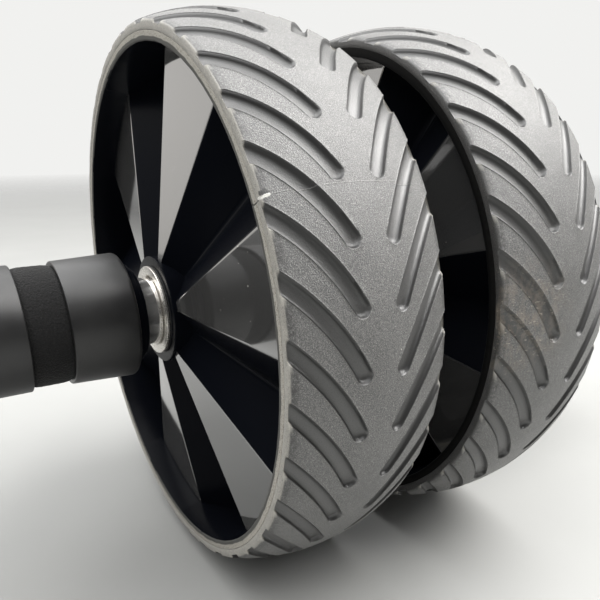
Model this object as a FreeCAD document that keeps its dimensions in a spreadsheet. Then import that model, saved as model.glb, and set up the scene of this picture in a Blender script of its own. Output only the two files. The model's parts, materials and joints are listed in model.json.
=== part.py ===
import FreeCAD, Part
import math
import os
import re

import Sketcher

# Ab wheel roller: two tyred wheels side by side on one chrome tube, with a banded handle at each end.
# Millimetres and degrees. X is the rolling direction, Y runs along the axle and Z is up. The origin is
# on the floor under the middle of the axle. Left is the -Y side.

SIZES = {
    # tyre: a rubber band with a barrel crown, held in a channel between the lips of two rim halves
    "wheel_diameter": 180,
    "wheel_pitch": 70,
    "tyre_width": 48,
    "crown_rise": 5,
    "tyre_depth": 9,
    "tyre_clearance": 0.1,
    # tread: two mirrored rows of curved grooves, open at the shoulder and round at the inner end
    "groove_count": 35,
    "groove_width": 4.4,
    "groove_depth": 2,
    "groove_reach": 24,
    "groove_bow": 1.15,
    "groove_end_offset": 6,
    "left_tread_turn": 10.9,
    "right_tread_turn": 9.65,
    # rim half: a band with a lip, a hub barrel and a web of flat facets between sunk V pockets
    "lip_height": 1.3,
    "lip_width": 3,
    "band_wall": 1.4,
    "band_draft": 1.4,
    "hub_diameter": 35.2,
    "hub_proud": 2,
    "facet_count": 6,
    "facet_proud": 0.7,
    "facet_depth": 8.7,
    "valley_rise": 2.2,
    "web_wall": 2,
    "cavity_inset": 14,
    "left_web_turn": 15,
    "right_web_turn": 32.4,
    # bushes, washers, retaining rings and the spacer between the wheels
    "axle_diameter": 22,
    "axle_wall": 1.5,
    "running_clearance": 0.06,
    "sleeve_clearance": 0.05,
    "bush_wall": 2.2,
    "bush_length": 22,
    "bush_flange_height": 1.2,
    "bush_flange_width": 1.6,
    "bush_proud": 0.2,
    "washer_diameter": 29,
    "washer_thickness": 1.1,
    "washer_play": 0.2,
    "clip_width": 0.8,
    "clip_height": 0.6,
    "clip_depth": 0.6,
    "clip_opening": 24,
    "spacer_wall": 2.6,
    # handle: a core sleeve with a neck, carrying a flared collar, foam bands, rings and an end cap
    "handle_gap": 9.1,
    "neck_length": 3.9,
    "neck_diameter": 32.4,
    "core_diameter": 27,
    "grip_diameter": 38.2,
    "foam_diameter": 36.4,
    "collar_length": 19.5,
    "foam_length": 11.5,
    "ring_length": 19.5,
    "cap_length": 19.5,
    "cap_wall": 4,
    "plug_length": 14,
    "collar_flare": 0.8,
    "collar_round": 1.2,
    "ring_round": 0.4,
    "foam_round": 0.8,
    "neck_round": 0.8,
    "cap_round": 4,
    # how far a cutting shape runs past what it cuts
    "overrun": 5,
}

LEFT = -1
RIGHT = 1
SIDES = {"left": LEFT, "right": RIGHT}
FULL_TURN = 360.0
QUARTER_TURN = 90.0
FACET_SHARE = 0.5
MATCH_SHARE = 0.001
AXLE_LINE = FreeCAD.Vector(0, 0, 1)
# How a sketch names the two ends of a side, and its own origin
LINE_START = 1
LINE_END = 2
SKETCH_ORIGIN = (-1, 1)

# Radii and places along the axle that several pieces share, written in the sheet's names
SHOULDER = "(wheel_diameter / 2 - crown_rise)"
SEAT = "(wheel_diameter / 2 - tyre_depth)"
LIP = f"({SEAT} + lip_height)"
HALF_TYRE = "(tyre_width / 2)"
CROWN_ARC = f"(({HALF_TYRE} ^ 2 + crown_rise ^ 2) / (2 * crown_rise))"
MOUTH = f"({SEAT} - band_wall)"
ROOT = f"({MOUTH} - band_draft)"
HUB = "(hub_diameter / 2)"
HUB_END = f"({HALF_TYRE} + hub_proud)"
AXLE = "(axle_diameter / 2)"
BUSH_BORE = f"({AXLE} + running_clearance)"
BUSH = f"({BUSH_BORE} + bush_wall)"
BUSH_END = f"({HUB_END} + bush_proud)"
WASHER_IN = f"({BUSH_END} + washer_play)"
WASHER_OUT = f"({WASHER_IN} + washer_thickness)"
SLEEVE_BORE = f"({AXLE} + sleeve_clearance)"
CLIP_PLACE = f"(wheel_pitch / 2 + {WASHER_OUT})"
NECK_PLACE = f"(wheel_pitch / 2 + {HALF_TYRE} + handle_gap)"
COLLAR_PLACE = f"({NECK_PLACE} + neck_length)"
GRIP = "(grip_diameter / 2)"
CORE = "(core_diameter / 2)"
RING_BORE = f"({CORE} + sleeve_clearance)"

doc = FreeCAD.newDocument("ab_wheel_roller")
sheet = doc.addObject("Spreadsheet::Sheet", "Sizes")
for row, (name, size) in enumerate(SIZES.items(), start=1):
    sheet.set(f"A{row}", name)
    sheet.set(f"B{row}", str(size))
    sheet.setAlias(f"B{row}", name)
doc.recompute()


def bound(words):
    """Gives an expression in which each of the sheet's names points at its cell."""
    return re.sub(r"[a-z_]{3,}", lambda found: f"Sizes.{found.group()}", words)


def value(words):
    """Works out an expression written in the sheet's names."""
    return float(sheet.evalExpression(bound(words)))


def plane_of(body, role):
    """Finds one of a body's own origin planes by its role."""
    return next(plane for plane in body.Origin.OriginFeatures if plane.Role == role)


def draw_outline(sketch, outline):
    """Draws a closed outline of (radius, place) corners, each bound to the sheet.

    A third entry on a corner makes the side that follows an arc of that radius, which runs up the axle and
    bulges away from it.
    """
    corners = [FreeCAD.Vector(value(corner[0]), value(corner[1]), 0) for corner in outline]
    for index, corner in enumerate(outline):
        start = corners[index]
        end = corners[(index + 1) % len(corners)]
        if len(corner) == 2:
            sketch.addGeometry(Part.LineSegment(start, end))
            continue
        half = (end - start) / 2
        radius = value(corner[2])
        rise = radius - math.sqrt(radius ** 2 - half.Length ** 2)
        sketch.addGeometry(Part.Arc(start, start + half + FreeCAD.Vector(rise, 0, 0), end))
    for index, corner in enumerate(outline):
        after = (index + 1) % len(outline)
        sketch.addConstraint(Sketcher.Constraint("Coincident", index, LINE_END, after, LINE_START))
        for axis, words in zip("XY", corner):
            place = sketch.addConstraint(Sketcher.Constraint(
                f"Distance{axis}", *SKETCH_ORIGIN, index, LINE_START, value(words)))
            sketch.setExpression(f"Constraints[{place}]", bound(words))
        if len(corner) == 3:
            place = sketch.addConstraint(Sketcher.Constraint("Radius", index, value(corner[2])))
            sketch.setExpression(f"Constraints[{place}]", bound(corner[2]))


def revolved(label, outline, opening="0"):
    """Makes a body by turning an outline about the body's own Z axis, less an opening angle."""
    body = doc.addObject("PartDesign::Body", label)
    body.Label = label
    sketch = body.newObject("Sketcher::SketchObject", f"{label}_outline")
    sketch.AttachmentSupport = (plane_of(body, "XZ_Plane"), [""])
    sketch.MapMode = "FlatFace"
    draw_outline(sketch, outline)
    turned = body.newObject("PartDesign::Revolution", f"{label}_turned")
    turned.Profile = sketch
    turned.ReferenceAxis = (sketch, ["V_Axis"])
    turned.setExpression("Angle", bound(f"{FULL_TURN} - {opening}"))
    doc.recompute()
    return body


def round_rims(body, size, rims):
    """Rounds a turned body's circular edges, each found by its (radius, place)."""
    base = body.Tip
    wanted = [(value(radius), value(place)) for radius, place in rims]
    names = []
    for number, edge in enumerate(base.Shape.Edges, start=1):
        if not isinstance(edge.Curve, Part.Circle):
            continue
        found = (edge.Curve.Radius, edge.Curve.Center.z)
        near = value("wheel_diameter") * MATCH_SHARE
        if any(math.dist(found, place) < near for place in wanted):
            names.append(f"Edge{number}")
    rounded = body.newObject("PartDesign::Fillet", f"{body.Label}_rounded")
    rounded.Base = (base, names)
    rounded.setExpression("Radius", bound(size))
    doc.recompute()


def put(node, facing, across, angle="0"):
    """Turns a node's own Z along the axle and puts its origin on the axle's line.

    facing says whether that Z points to -Y or +Y, across is the place along Y, and angle turns the node
    about the axle from +X towards +Z.
    """
    flip = FreeCAD.Rotation(FreeCAD.Vector(1, 0, 0), -QUARTER_TURN * facing)
    spin = FreeCAD.Rotation(AXLE_LINE, -facing * value(angle))
    node.Placement = FreeCAD.Placement(FreeCAD.Vector(), flip.multiply(spin))
    node.setExpression("Placement.Base.y", bound(across))
    node.setExpression("Placement.Base.z", bound("wheel_diameter / 2"))
    return node


def copy_of(form, label):
    """Makes a node with the shape of a form that is used more than once."""
    node = doc.addObject("Part::Feature", label)
    node.Label = label
    node.Shape = form.Shape.copy()
    return node


def solid_feature(label, shape):
    """Adds a worked-out shape to the document."""
    feature = doc.addObject("Part::Feature", label)
    feature.Shape = shape
    return feature


def ringed(shape, count, start=0.0):
    """Repeats a shape evenly round the Z axis, as one compound."""
    copies = []
    for index in range(count):
        one = shape.copy()
        one.rotate(FreeCAD.Vector(), AXLE_LINE, start + FULL_TURN * index / count)
        copies.append(one)
    return Part.makeCompound(copies)


def prism_between(sections):
    """Makes a flat-sided solid through closed polygons, one after another."""
    wires = [Part.makePolygon(points + points[:1]) for points in sections]
    return Part.makeLoft(wires, True, True)


# Tread and tyre


def groove_plan(beyond):
    """Draws one groove on a plane touching the tread: across is the tangent, up is the wheel's axis.

    The groove is a band along an arc that bows towards the crown, and it runs past the shoulder by beyond.
    """
    end = FreeCAD.Vector(0, 0, value("groove_end_offset"))
    mouth = FreeCAD.Vector(0, value("groove_reach"), value(HALF_TYRE))
    half_width = value("groove_width / 2")
    chord = mouth - end
    bow = value("groove_bow")
    radius = chord.Length ** 2 / (8 * bow) + bow / 2
    inward = FreeCAD.Vector(1, 0, 0).cross(chord).normalize()
    centre = end + chord / 2 + inward * (radius - bow)
    first = math.atan2(end.z - centre.z, end.y - centre.y)
    last = math.atan2(mouth.z - centre.z, mouth.y - centre.y)
    last += math.copysign(beyond / radius, last - first)
    middle = FreeCAD.Vector(0, mouth.y / 2, 0)

    def on_arc(angle, offset):
        """Gives a point beside the groove's middle line."""
        reach = FreeCAD.Vector(0, math.cos(angle), math.sin(angle)) * (radius + offset)
        return centre + reach - middle

    mean = (first + last) / 2
    before = first - half_width / radius * math.copysign(1, last - first)
    upper = Part.Arc(*(on_arc(angle, half_width) for angle in (last, mean, first)))
    lower = Part.Arc(*(on_arc(angle, -half_width) for angle in (first, mean, last)))
    nose = Part.Arc(on_arc(first, half_width), on_arc(before, 0), on_arc(first, -half_width))
    closing = Part.LineSegment(on_arc(last, -half_width), on_arc(last, half_width))
    return Part.Wire([side.toShape() for side in (upper, nose, lower, closing)])


def groove_cutters():
    """Makes the cutting shapes of both rows of grooves, with a floor that follows the barrel crown."""
    overrun = value("overrun")
    crown = value("wheel_diameter / 2")
    floor_inside = crown - value("tyre_depth")
    plan = Part.Face(groove_plan(overrun))
    plan.translate(FreeCAD.Vector(floor_inside, 0, 0))
    block = plan.extrude(FreeCAD.Vector(crown + overrun - floor_inside, 0, 0))
    barrel_centre = crown - value(CROWN_ARC)
    barrel = value(CROWN_ARC) - value("groove_depth")
    lift = math.sqrt(barrel ** 2 - (value(HALF_TYRE) + overrun) ** 2)
    low = FreeCAD.Vector(barrel_centre + lift, 0, -value(HALF_TYRE) - overrun)
    high = FreeCAD.Vector(low.x, 0, -low.z)
    top = FreeCAD.Vector(barrel_centre + barrel, 0, 0)
    under = [high, FreeCAD.Vector(0, 0, high.z), FreeCAD.Vector(0, 0, low.z), low]
    sides = [Part.Arc(low, top, high).toShape()]
    sides += [Part.LineSegment(*pair).toShape() for pair in zip(under, under[1:])]
    floor = Part.Face(Part.Wire(sides)).revolve(FreeCAD.Vector(), AXLE_LINE, FULL_TURN)
    groove = block.cut(floor)
    swing = math.degrees(value("groove_reach / 2") / value(SHOULDER))
    row = ringed(groove, int(value("groove_count")), swing)
    other_row = row.mirror(FreeCAD.Vector(), AXLE_LINE)
    return Part.makeCompound([row, other_row])


def tyre_form():
    """Makes the grooved tyre, its middle at its own origin."""
    channel = f"({HALF_TYRE} - lip_width - tyre_clearance)"
    bore = f"{SEAT} + tyre_clearance"
    bead = f"{LIP} + tyre_clearance"
    band = revolved("tyre_band", [
        (bore, f"-{channel}"),
        (bead, f"-{channel}"),
        (bead, f"-{HALF_TYRE}"),
        (SHOULDER, f"-{HALF_TYRE}", CROWN_ARC),
        (SHOULDER, HALF_TYRE),
        (bead, HALF_TYRE),
        (bead, channel),
        (bore, channel),
    ])
    grooves = solid_feature("tread_grooves", groove_cutters())
    tyre = doc.addObject("Part::Cut", "tyre_form")
    tyre.Base = band
    tyre.Tool = grooves
    doc.recompute()
    return tyre


# Rim half


def facet_height(along):
    """Gives the height of a facet's plane at a distance from the axle, along the facet's middle line."""
    apex = value(f"{HALF_TYRE} + facet_proud")
    base = value(f"{HALF_TYRE} - facet_depth")
    slope = (apex - base) / (value(ROOT) - value(HUB))
    return apex - slope * (along - value(HUB))


def flank_plane(sink):
    """Gives a point and the normal of a pocket's wall, in the frame of the facet that it meets.

    The wall holds the facet's edge and the deepest point of the valley. sink moves it back into the wall.
    """
    pitch = math.radians(FULL_TURN / value("facet_count"))
    root = value(ROOT)
    edge = pitch * FACET_SHARE / 2
    apex = FreeCAD.Vector(value(HUB), 0, facet_height(value(HUB)))
    corner = FreeCAD.Vector(root * math.cos(edge), root * math.sin(edge), 0)
    corner.z = facet_height(corner.x)
    valley = FreeCAD.Vector(root * math.cos(pitch / 2), root * math.sin(pitch / 2), value("valley_rise"))
    normal = (corner - apex).cross(valley - apex).normalize()
    if normal.z < 0:
        normal = normal * -1
    return apex - normal * sink, normal


def wall_offset(along, height, sink):
    """Gives how far from a facet's middle line the pocket's wall is, at a distance and a height."""
    point, normal = flank_plane(sink)
    flat = normal.x * (along - point.x) + normal.z * (height - point.z)
    return point.y - flat / normal.y


def valley_height(along, sink):
    """Gives the height of a pocket's lowest line at a distance from the axle."""
    pitch = math.radians(FULL_TURN / value("facet_count"))
    point, normal = flank_plane(sink)
    flat = normal.x * math.cos(pitch / 2) + normal.y * math.sin(pitch / 2)
    return (normal.dot(point) - flat * along) / normal.z


def web_block():
    """Makes the solid under the facets: a shallow pyramid with one side per facet."""
    sides = int(value("facet_count"))
    outside = value(f"{SEAT} + overrun")
    inside = value(f"{HUB} / 2")

    def polygon(along, height):
        """Gives the corners of the pyramid's outline where its sides are that far from the axle."""
        reach = along / math.cos(math.pi / sides)
        turns = [math.pi * (2 * index + 1) / sides for index in range(sides)]
        return [FreeCAD.Vector(reach * math.cos(turn), reach * math.sin(turn), height) for turn in turns]

    pyramid = prism_between([polygon(outside, facet_height(outside)), polygon(inside, facet_height(inside))])
    prism = prism_between([polygon(outside, 0), polygon(outside, facet_height(outside))])
    return pyramid.fuse(prism)


def pocket_cutter():
    """Makes the wedge that sinks one pocket, beside the facet that lies along X."""
    pitch = math.radians(FULL_TURN / value("facet_count"))
    normal = flank_plane(0)[1]
    middle = FreeCAD.Vector(math.cos(pitch / 2), math.sin(pitch / 2), 0)
    across = FreeCAD.Vector(-middle.y, middle.x, 0)
    top = value(f"{HUB_END} + overrun")
    sections = []
    for along in (value(f"{HUB} / 2"), value(f"{SEAT} + overrun")):
        floor = valley_height(along, 0)
        half = normal.z * (top - floor) / -normal.dot(across)
        foot = middle * along
        sections.append([
            foot + AXLE_LINE * floor,
            foot + across * half + AXLE_LINE * top,
            foot - across * half + AXLE_LINE * top,
        ])
    return prism_between(sections)


def cavity_cutter():
    """Makes the wedge that hollows the web behind the facet that lies along X."""
    wall = value("web_wall")
    slope = (facet_height(0) - facet_height(value(ROOT))) / value(ROOT)
    back = -value("overrun")
    sections = []
    for along in (value(f"{HUB} + cavity_inset"), value(f"{SEAT} + overrun")):
        roof = facet_height(along) - wall * math.hypot(1, slope)
        top = wall_offset(along, roof, wall)
        foot = wall_offset(along, back, wall)
        corners = [(-foot, back), (foot, back), (top, roof), (-top, roof)]
        sections.append([FreeCAD.Vector(along, side, height) for side, height in corners])
    return prism_between(sections)


def hub_recess():
    """Makes the ring that hollows the web round the hub, up to the level of the valleys' backs."""
    wall = value("web_wall")
    outside = value(f"{HUB} + cavity_inset")
    depth = valley_height(outside, wall)
    inside = Part.makeCylinder(value(HUB) + wall, depth, FreeCAD.Vector(), AXLE_LINE)
    return Part.makeCylinder(outside, depth, FreeCAD.Vector(), AXLE_LINE).cut(inside)


def rim_form():
    """Makes one rim half: its own Z points out of the wheel, and its origin is in the wheel's middle."""
    band = revolved("rim_band", [
        (ROOT, "0"),
        (SEAT, "0"),
        (SEAT, f"{HALF_TYRE} - lip_width"),
        (LIP, f"{HALF_TYRE} - lip_width"),
        (LIP, HALF_TYRE),
        (MOUTH, HALF_TYRE),
        (ROOT, f"{HALF_TYRE} - facet_depth"),
    ])
    seat = f"{BUSH} + sleeve_clearance"
    counterbore = f"{HUB_END} - bush_flange_width + bush_proud"
    flange_seat = f"{BUSH} + bush_flange_height + sleeve_clearance"
    hub = revolved("rim_hub", [
        (seat, "0"),
        (HUB, "0"),
        (HUB, HUB_END),
        (flange_seat, HUB_END),
        (flange_seat, counterbore),
        (seat, counterbore),
    ])
    round_rims(hub, "neck_round", [(HUB, HUB_END)])
    count = int(value("facet_count"))
    between = (value(f"{HUB} + {seat}") / 2, value(f"{ROOT} + {SEAT}") / 2)
    disc = Part.makeCylinder(between[1], value(HUB_END), FreeCAD.Vector(), AXLE_LINE)
    disc = disc.cut(Part.makeCylinder(between[0], value(HUB_END), FreeCAD.Vector(), AXLE_LINE))
    web = disc.common(web_block())
    web = web.cut(ringed(pocket_cutter(), count))
    web = web.cut(ringed(cavity_cutter(), count))
    web = web.cut(hub_recess())
    rim = doc.addObject("Part::MultiFuse", "rim_form")
    rim.Shapes = [band, hub, solid_feature("rim_web", web)]
    doc.recompute()
    return rim


def add_wheels():
    """Makes both wheels: two rim halves, a tyre and a bush in each end of the hub."""
    tyre = tyre_form()
    rim = rim_form()
    nodes = []
    for name, side in SIDES.items():
        middle = f"{side} * wheel_pitch / 2"
        nodes.append(put(copy_of(tyre, f"{name}_tyre"), LEFT, middle, f"{name}_tread_turn"))
        for half, facing in (("outer", side), ("inner", -side)):
            node = copy_of(rim, f"{name}_{half}_rim")
            nodes.append(put(node, facing, middle, f"{name}_web_turn"))
            bush = revolved(f"{name}_{half}_bush", [
                (BUSH_BORE, f"{BUSH_END} - bush_length"),
                (BUSH, f"{BUSH_END} - bush_length"),
                (BUSH, f"{BUSH_END} - bush_flange_width"),
                (f"{BUSH} + bush_flange_height", f"{BUSH_END} - bush_flange_width"),
                (f"{BUSH} + bush_flange_height", BUSH_END),
                (BUSH_BORE, BUSH_END),
            ])
            nodes.append(put(bush, facing, middle))
    return nodes


# Axle and what keeps the wheels in place on it


def sleeve(label, bore, outside, start, end, flare="0"):
    """Makes a tube between two places along the axle, wider by the flare at its start."""
    return revolved(label, [(bore, start), (f"{outside} + {flare}", start), (outside, end), (bore, end)])


def add_axle():
    """Makes the tube with a groove near each wheel, the washers, the retaining rings and the spacer."""
    bore = f"{AXLE} - axle_wall"
    groove = f"{AXLE} - clip_depth"
    groove_end = f"{CLIP_PLACE} + clip_width + sleeve_clearance"
    end = f"({COLLAR_PLACE} + {stack_length()} - cap_wall)"
    right_half = [(groove, CLIP_PLACE), (groove, groove_end), (AXLE, groove_end), (AXLE, end), (bore, end)]
    left_half = [(radius, f"-({place})") for radius, place in reversed(right_half)]
    tube = revolved("axle_tube", left_half + [(AXLE, f"-{CLIP_PLACE}"), (AXLE, CLIP_PLACE)] + right_half)
    spacer_end = f"(wheel_pitch / 2 - {WASHER_OUT})"
    spacer = sleeve("centre_spacer", SLEEVE_BORE, f"{SLEEVE_BORE} + spacer_wall", f"-{spacer_end}", spacer_end)
    nodes = [put(tube, RIGHT, "0"), put(spacer, RIGHT, "0")]
    for name, side in SIDES.items():
        middle = f"{side} * wheel_pitch / 2"
        for half, facing in (("outer", side), ("inner", -side)):
            washer = sleeve(f"{name}_{half}_washer", SLEEVE_BORE, "washer_diameter / 2", WASHER_IN, WASHER_OUT)
            nodes.append(put(washer, facing, middle))
        clip = revolved(f"{name}_retaining_ring", [
            (f"{groove} + sleeve_clearance", CLIP_PLACE),
            (f"{AXLE} + clip_height", CLIP_PLACE),
            (f"{AXLE} + clip_height", f"{CLIP_PLACE} + clip_width"),
            (f"{groove} + sleeve_clearance", f"{CLIP_PLACE} + clip_width"),
        ], "clip_opening")
        nodes.append(put(clip, side, "0", f"{QUARTER_TURN}"))
    return nodes


# Handles


def stack():
    """Lists what sits on a handle's core from the wheel outwards: name, length and outside diameter."""
    return [
        ("collar", "collar_length", "grip_diameter"),
        ("inner_foam_band", "foam_length", "foam_diameter"),
        ("inner_grip_ring", "ring_length", "grip_diameter"),
        ("middle_foam_band", "foam_length", "foam_diameter"),
        ("outer_grip_ring", "ring_length", "grip_diameter"),
        ("outer_foam_band", "foam_length", "foam_diameter"),
        ("end_cap", "cap_length", "grip_diameter"),
    ]


def stack_length(count=None):
    """Adds up the lengths of the first pieces of the stack, or of all of them."""
    return "(" + " + ".join(["0"] + [length for _, length, _ in stack()[:count]]) + ")"


def add_end_cap(label, start, end):
    """Makes the cap over the core's end, with a plug that goes into the tube."""
    inside = f"{end} - cap_wall"
    plug = f"{AXLE} - axle_wall - sleeve_clearance"
    cap = revolved(label, [
        ("0", f"{inside} - plug_length"),
        (plug, f"{inside} - plug_length"),
        (plug, inside),
        (RING_BORE, inside),
        (RING_BORE, start),
        (GRIP, start),
        (GRIP, end),
        ("0", end),
    ])
    round_rims(cap, "cap_round", [(GRIP, end)])
    return cap


def add_handles():
    """Makes both handles: the core sleeve, and the stack that it carries."""
    nodes = []
    end = f"({COLLAR_PLACE} + {stack_length()})"
    for name, side in SIDES.items():
        core = revolved(f"{name}_handle_core", [
            (SLEEVE_BORE, NECK_PLACE),
            ("neck_diameter / 2", NECK_PLACE),
            ("neck_diameter / 2", COLLAR_PLACE),
            (CORE, COLLAR_PLACE),
            (CORE, f"{end} - cap_wall"),
            (SLEEVE_BORE, f"{end} - cap_wall"),
        ])
        round_rims(core, "neck_round", [("neck_diameter / 2", NECK_PLACE)])
        nodes.append(put(core, side, "0"))
        for index, (piece, length, across) in enumerate(stack()):
            start = f"({COLLAR_PLACE} + {stack_length(index)})"
            finish = f"({start} + {length})"
            label = f"{name}_{piece}"
            if piece == "end_cap":
                node = add_end_cap(label, start, finish)
                round_rims(node, "ring_round", [(GRIP, start)])
            else:
                flare = "collar_flare" if piece == "collar" else "0"
                node = sleeve(label, RING_BORE, f"{across} / 2", start, finish, flare)
                far = "foam_round" if "foam" in piece else "ring_round"
                near = "collar_round" if piece == "collar" else far
                round_rims(node, near, [(f"{across} / 2 + {flare}", start)])
                round_rims(node, far, [(f"{across} / 2", finish)])
            nodes.append(put(node, side, "0"))
    return nodes


nodes = add_axle() + add_wheels() + add_handles()
doc.recompute()
failed = [item.Label for item in doc.Objects if "Invalid" in item.State or "Error" in item.State]
failed += [node.Label for node in nodes if node.Shape.isNull() or not node.Shape.isValid()]
if failed:
    raise RuntimeError(f"not built: {failed}")
os.makedirs("parts", exist_ok=True)
for node in nodes:
    node.Shape.exportStep(f"parts/{node.Label}.step")
    print(node.Label, len(node.Shape.Solids), round(node.Shape.Volume))
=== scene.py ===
"""Looks of an ab wheel roller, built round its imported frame.

Two tyred wheels turn side by side on one chrome tube, with a banded handle at each end. Lengths are in
metres, and angles are in degrees where their name says so. X is the rolling direction, Y runs along the axle,
Z is up.
"""

import json
import logging
import math
from dataclasses import dataclass
from enum import Enum
from functools import lru_cache
from typing import Sequence

import bmesh
import bpy
from mathutils import Matrix, Vector, noise

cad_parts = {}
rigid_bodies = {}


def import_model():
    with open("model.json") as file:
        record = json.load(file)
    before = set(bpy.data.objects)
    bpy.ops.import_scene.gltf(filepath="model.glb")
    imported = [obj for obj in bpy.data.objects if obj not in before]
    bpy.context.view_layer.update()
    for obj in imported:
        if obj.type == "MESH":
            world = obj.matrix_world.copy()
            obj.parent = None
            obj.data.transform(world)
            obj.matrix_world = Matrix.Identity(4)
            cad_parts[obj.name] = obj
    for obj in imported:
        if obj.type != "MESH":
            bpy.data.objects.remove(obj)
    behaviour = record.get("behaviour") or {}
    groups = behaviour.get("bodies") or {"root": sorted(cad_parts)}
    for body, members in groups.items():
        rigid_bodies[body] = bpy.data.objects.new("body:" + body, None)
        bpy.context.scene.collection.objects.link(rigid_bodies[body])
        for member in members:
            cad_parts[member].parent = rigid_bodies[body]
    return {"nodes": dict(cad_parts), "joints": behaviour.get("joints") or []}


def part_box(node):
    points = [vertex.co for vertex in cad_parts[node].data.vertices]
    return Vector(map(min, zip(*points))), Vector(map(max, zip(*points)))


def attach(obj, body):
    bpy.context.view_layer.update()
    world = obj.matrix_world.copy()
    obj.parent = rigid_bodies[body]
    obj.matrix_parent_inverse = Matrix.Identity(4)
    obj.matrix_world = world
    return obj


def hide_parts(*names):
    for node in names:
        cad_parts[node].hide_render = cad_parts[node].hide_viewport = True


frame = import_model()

LOG = logging.getLogger("ab_wheel_roller")
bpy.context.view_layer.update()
FULL_TURN = 2 * math.pi
AXLE_HEIGHT = frame["joints"][0]["pos_m"][2]
ROOT_BODY = frame["joints"][0]["parent"]
MERGE_DISTANCE = 1e-6
TURN_STEPS = 128
ROUND_SEGMENTS = 4
CAP_FACING = 0.9
FACE_WEIGHT = 100
ORIGIN = (0.0, 0.0, 0.0)
ALONG_AXLE = (0.0, 1.0, 0.0)
UP = (0.0, 0.0, 1.0)

Triple = tuple[float, float, float]
Colour = Triple
Band = tuple[float, ...]
Relief = tuple[float, float]
Output = bpy.types.NodeSocket
Number = Output | float
Tone = Output | Colour


class Side(Enum):
    """The two ends of the axle, by the sign of Y."""

    LEFT = -1
    RIGHT = 1

    @property
    def word(self) -> str:
        """The side as it starts the names of its nodes."""
        return self.name.lower()


class Half(Enum):
    """The two halves of a wheel, by whether they face the handle or the other wheel."""

    OUTER = 1
    INNER = -1

    @property
    def word(self) -> str:
        """The half as it stands in the names of its nodes."""
        return self.name.lower()


class Slot(Enum):
    """The record's material slots."""

    TREAD = "tread_rubber"
    RIM = "rim_plastic"
    AXLE = "axle_chrome"
    WASHER = "washer_steel"
    BUSH = "bush_plastic"
    CORE = "core_plastic"
    GRIP = "grip_plastic"
    FOAM = "grip_foam"


# Finishes


@dataclass(frozen=True)
class Cloud:
    """A cloudy pattern: about how large one patch is, how many finer layers it has and how strong they are.

    stretch is how much closer the pattern lies along each axis.
    """

    size: float
    detail: float = 3.0
    rough: float = 0.5
    stretch: Triple = (1.0, 1.0, 1.0)


def dimmed(colour: Colour, share: float) -> Colour:
    """Gives a colour at a share of its brightness."""
    return tuple(share * part for part in colour)


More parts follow.
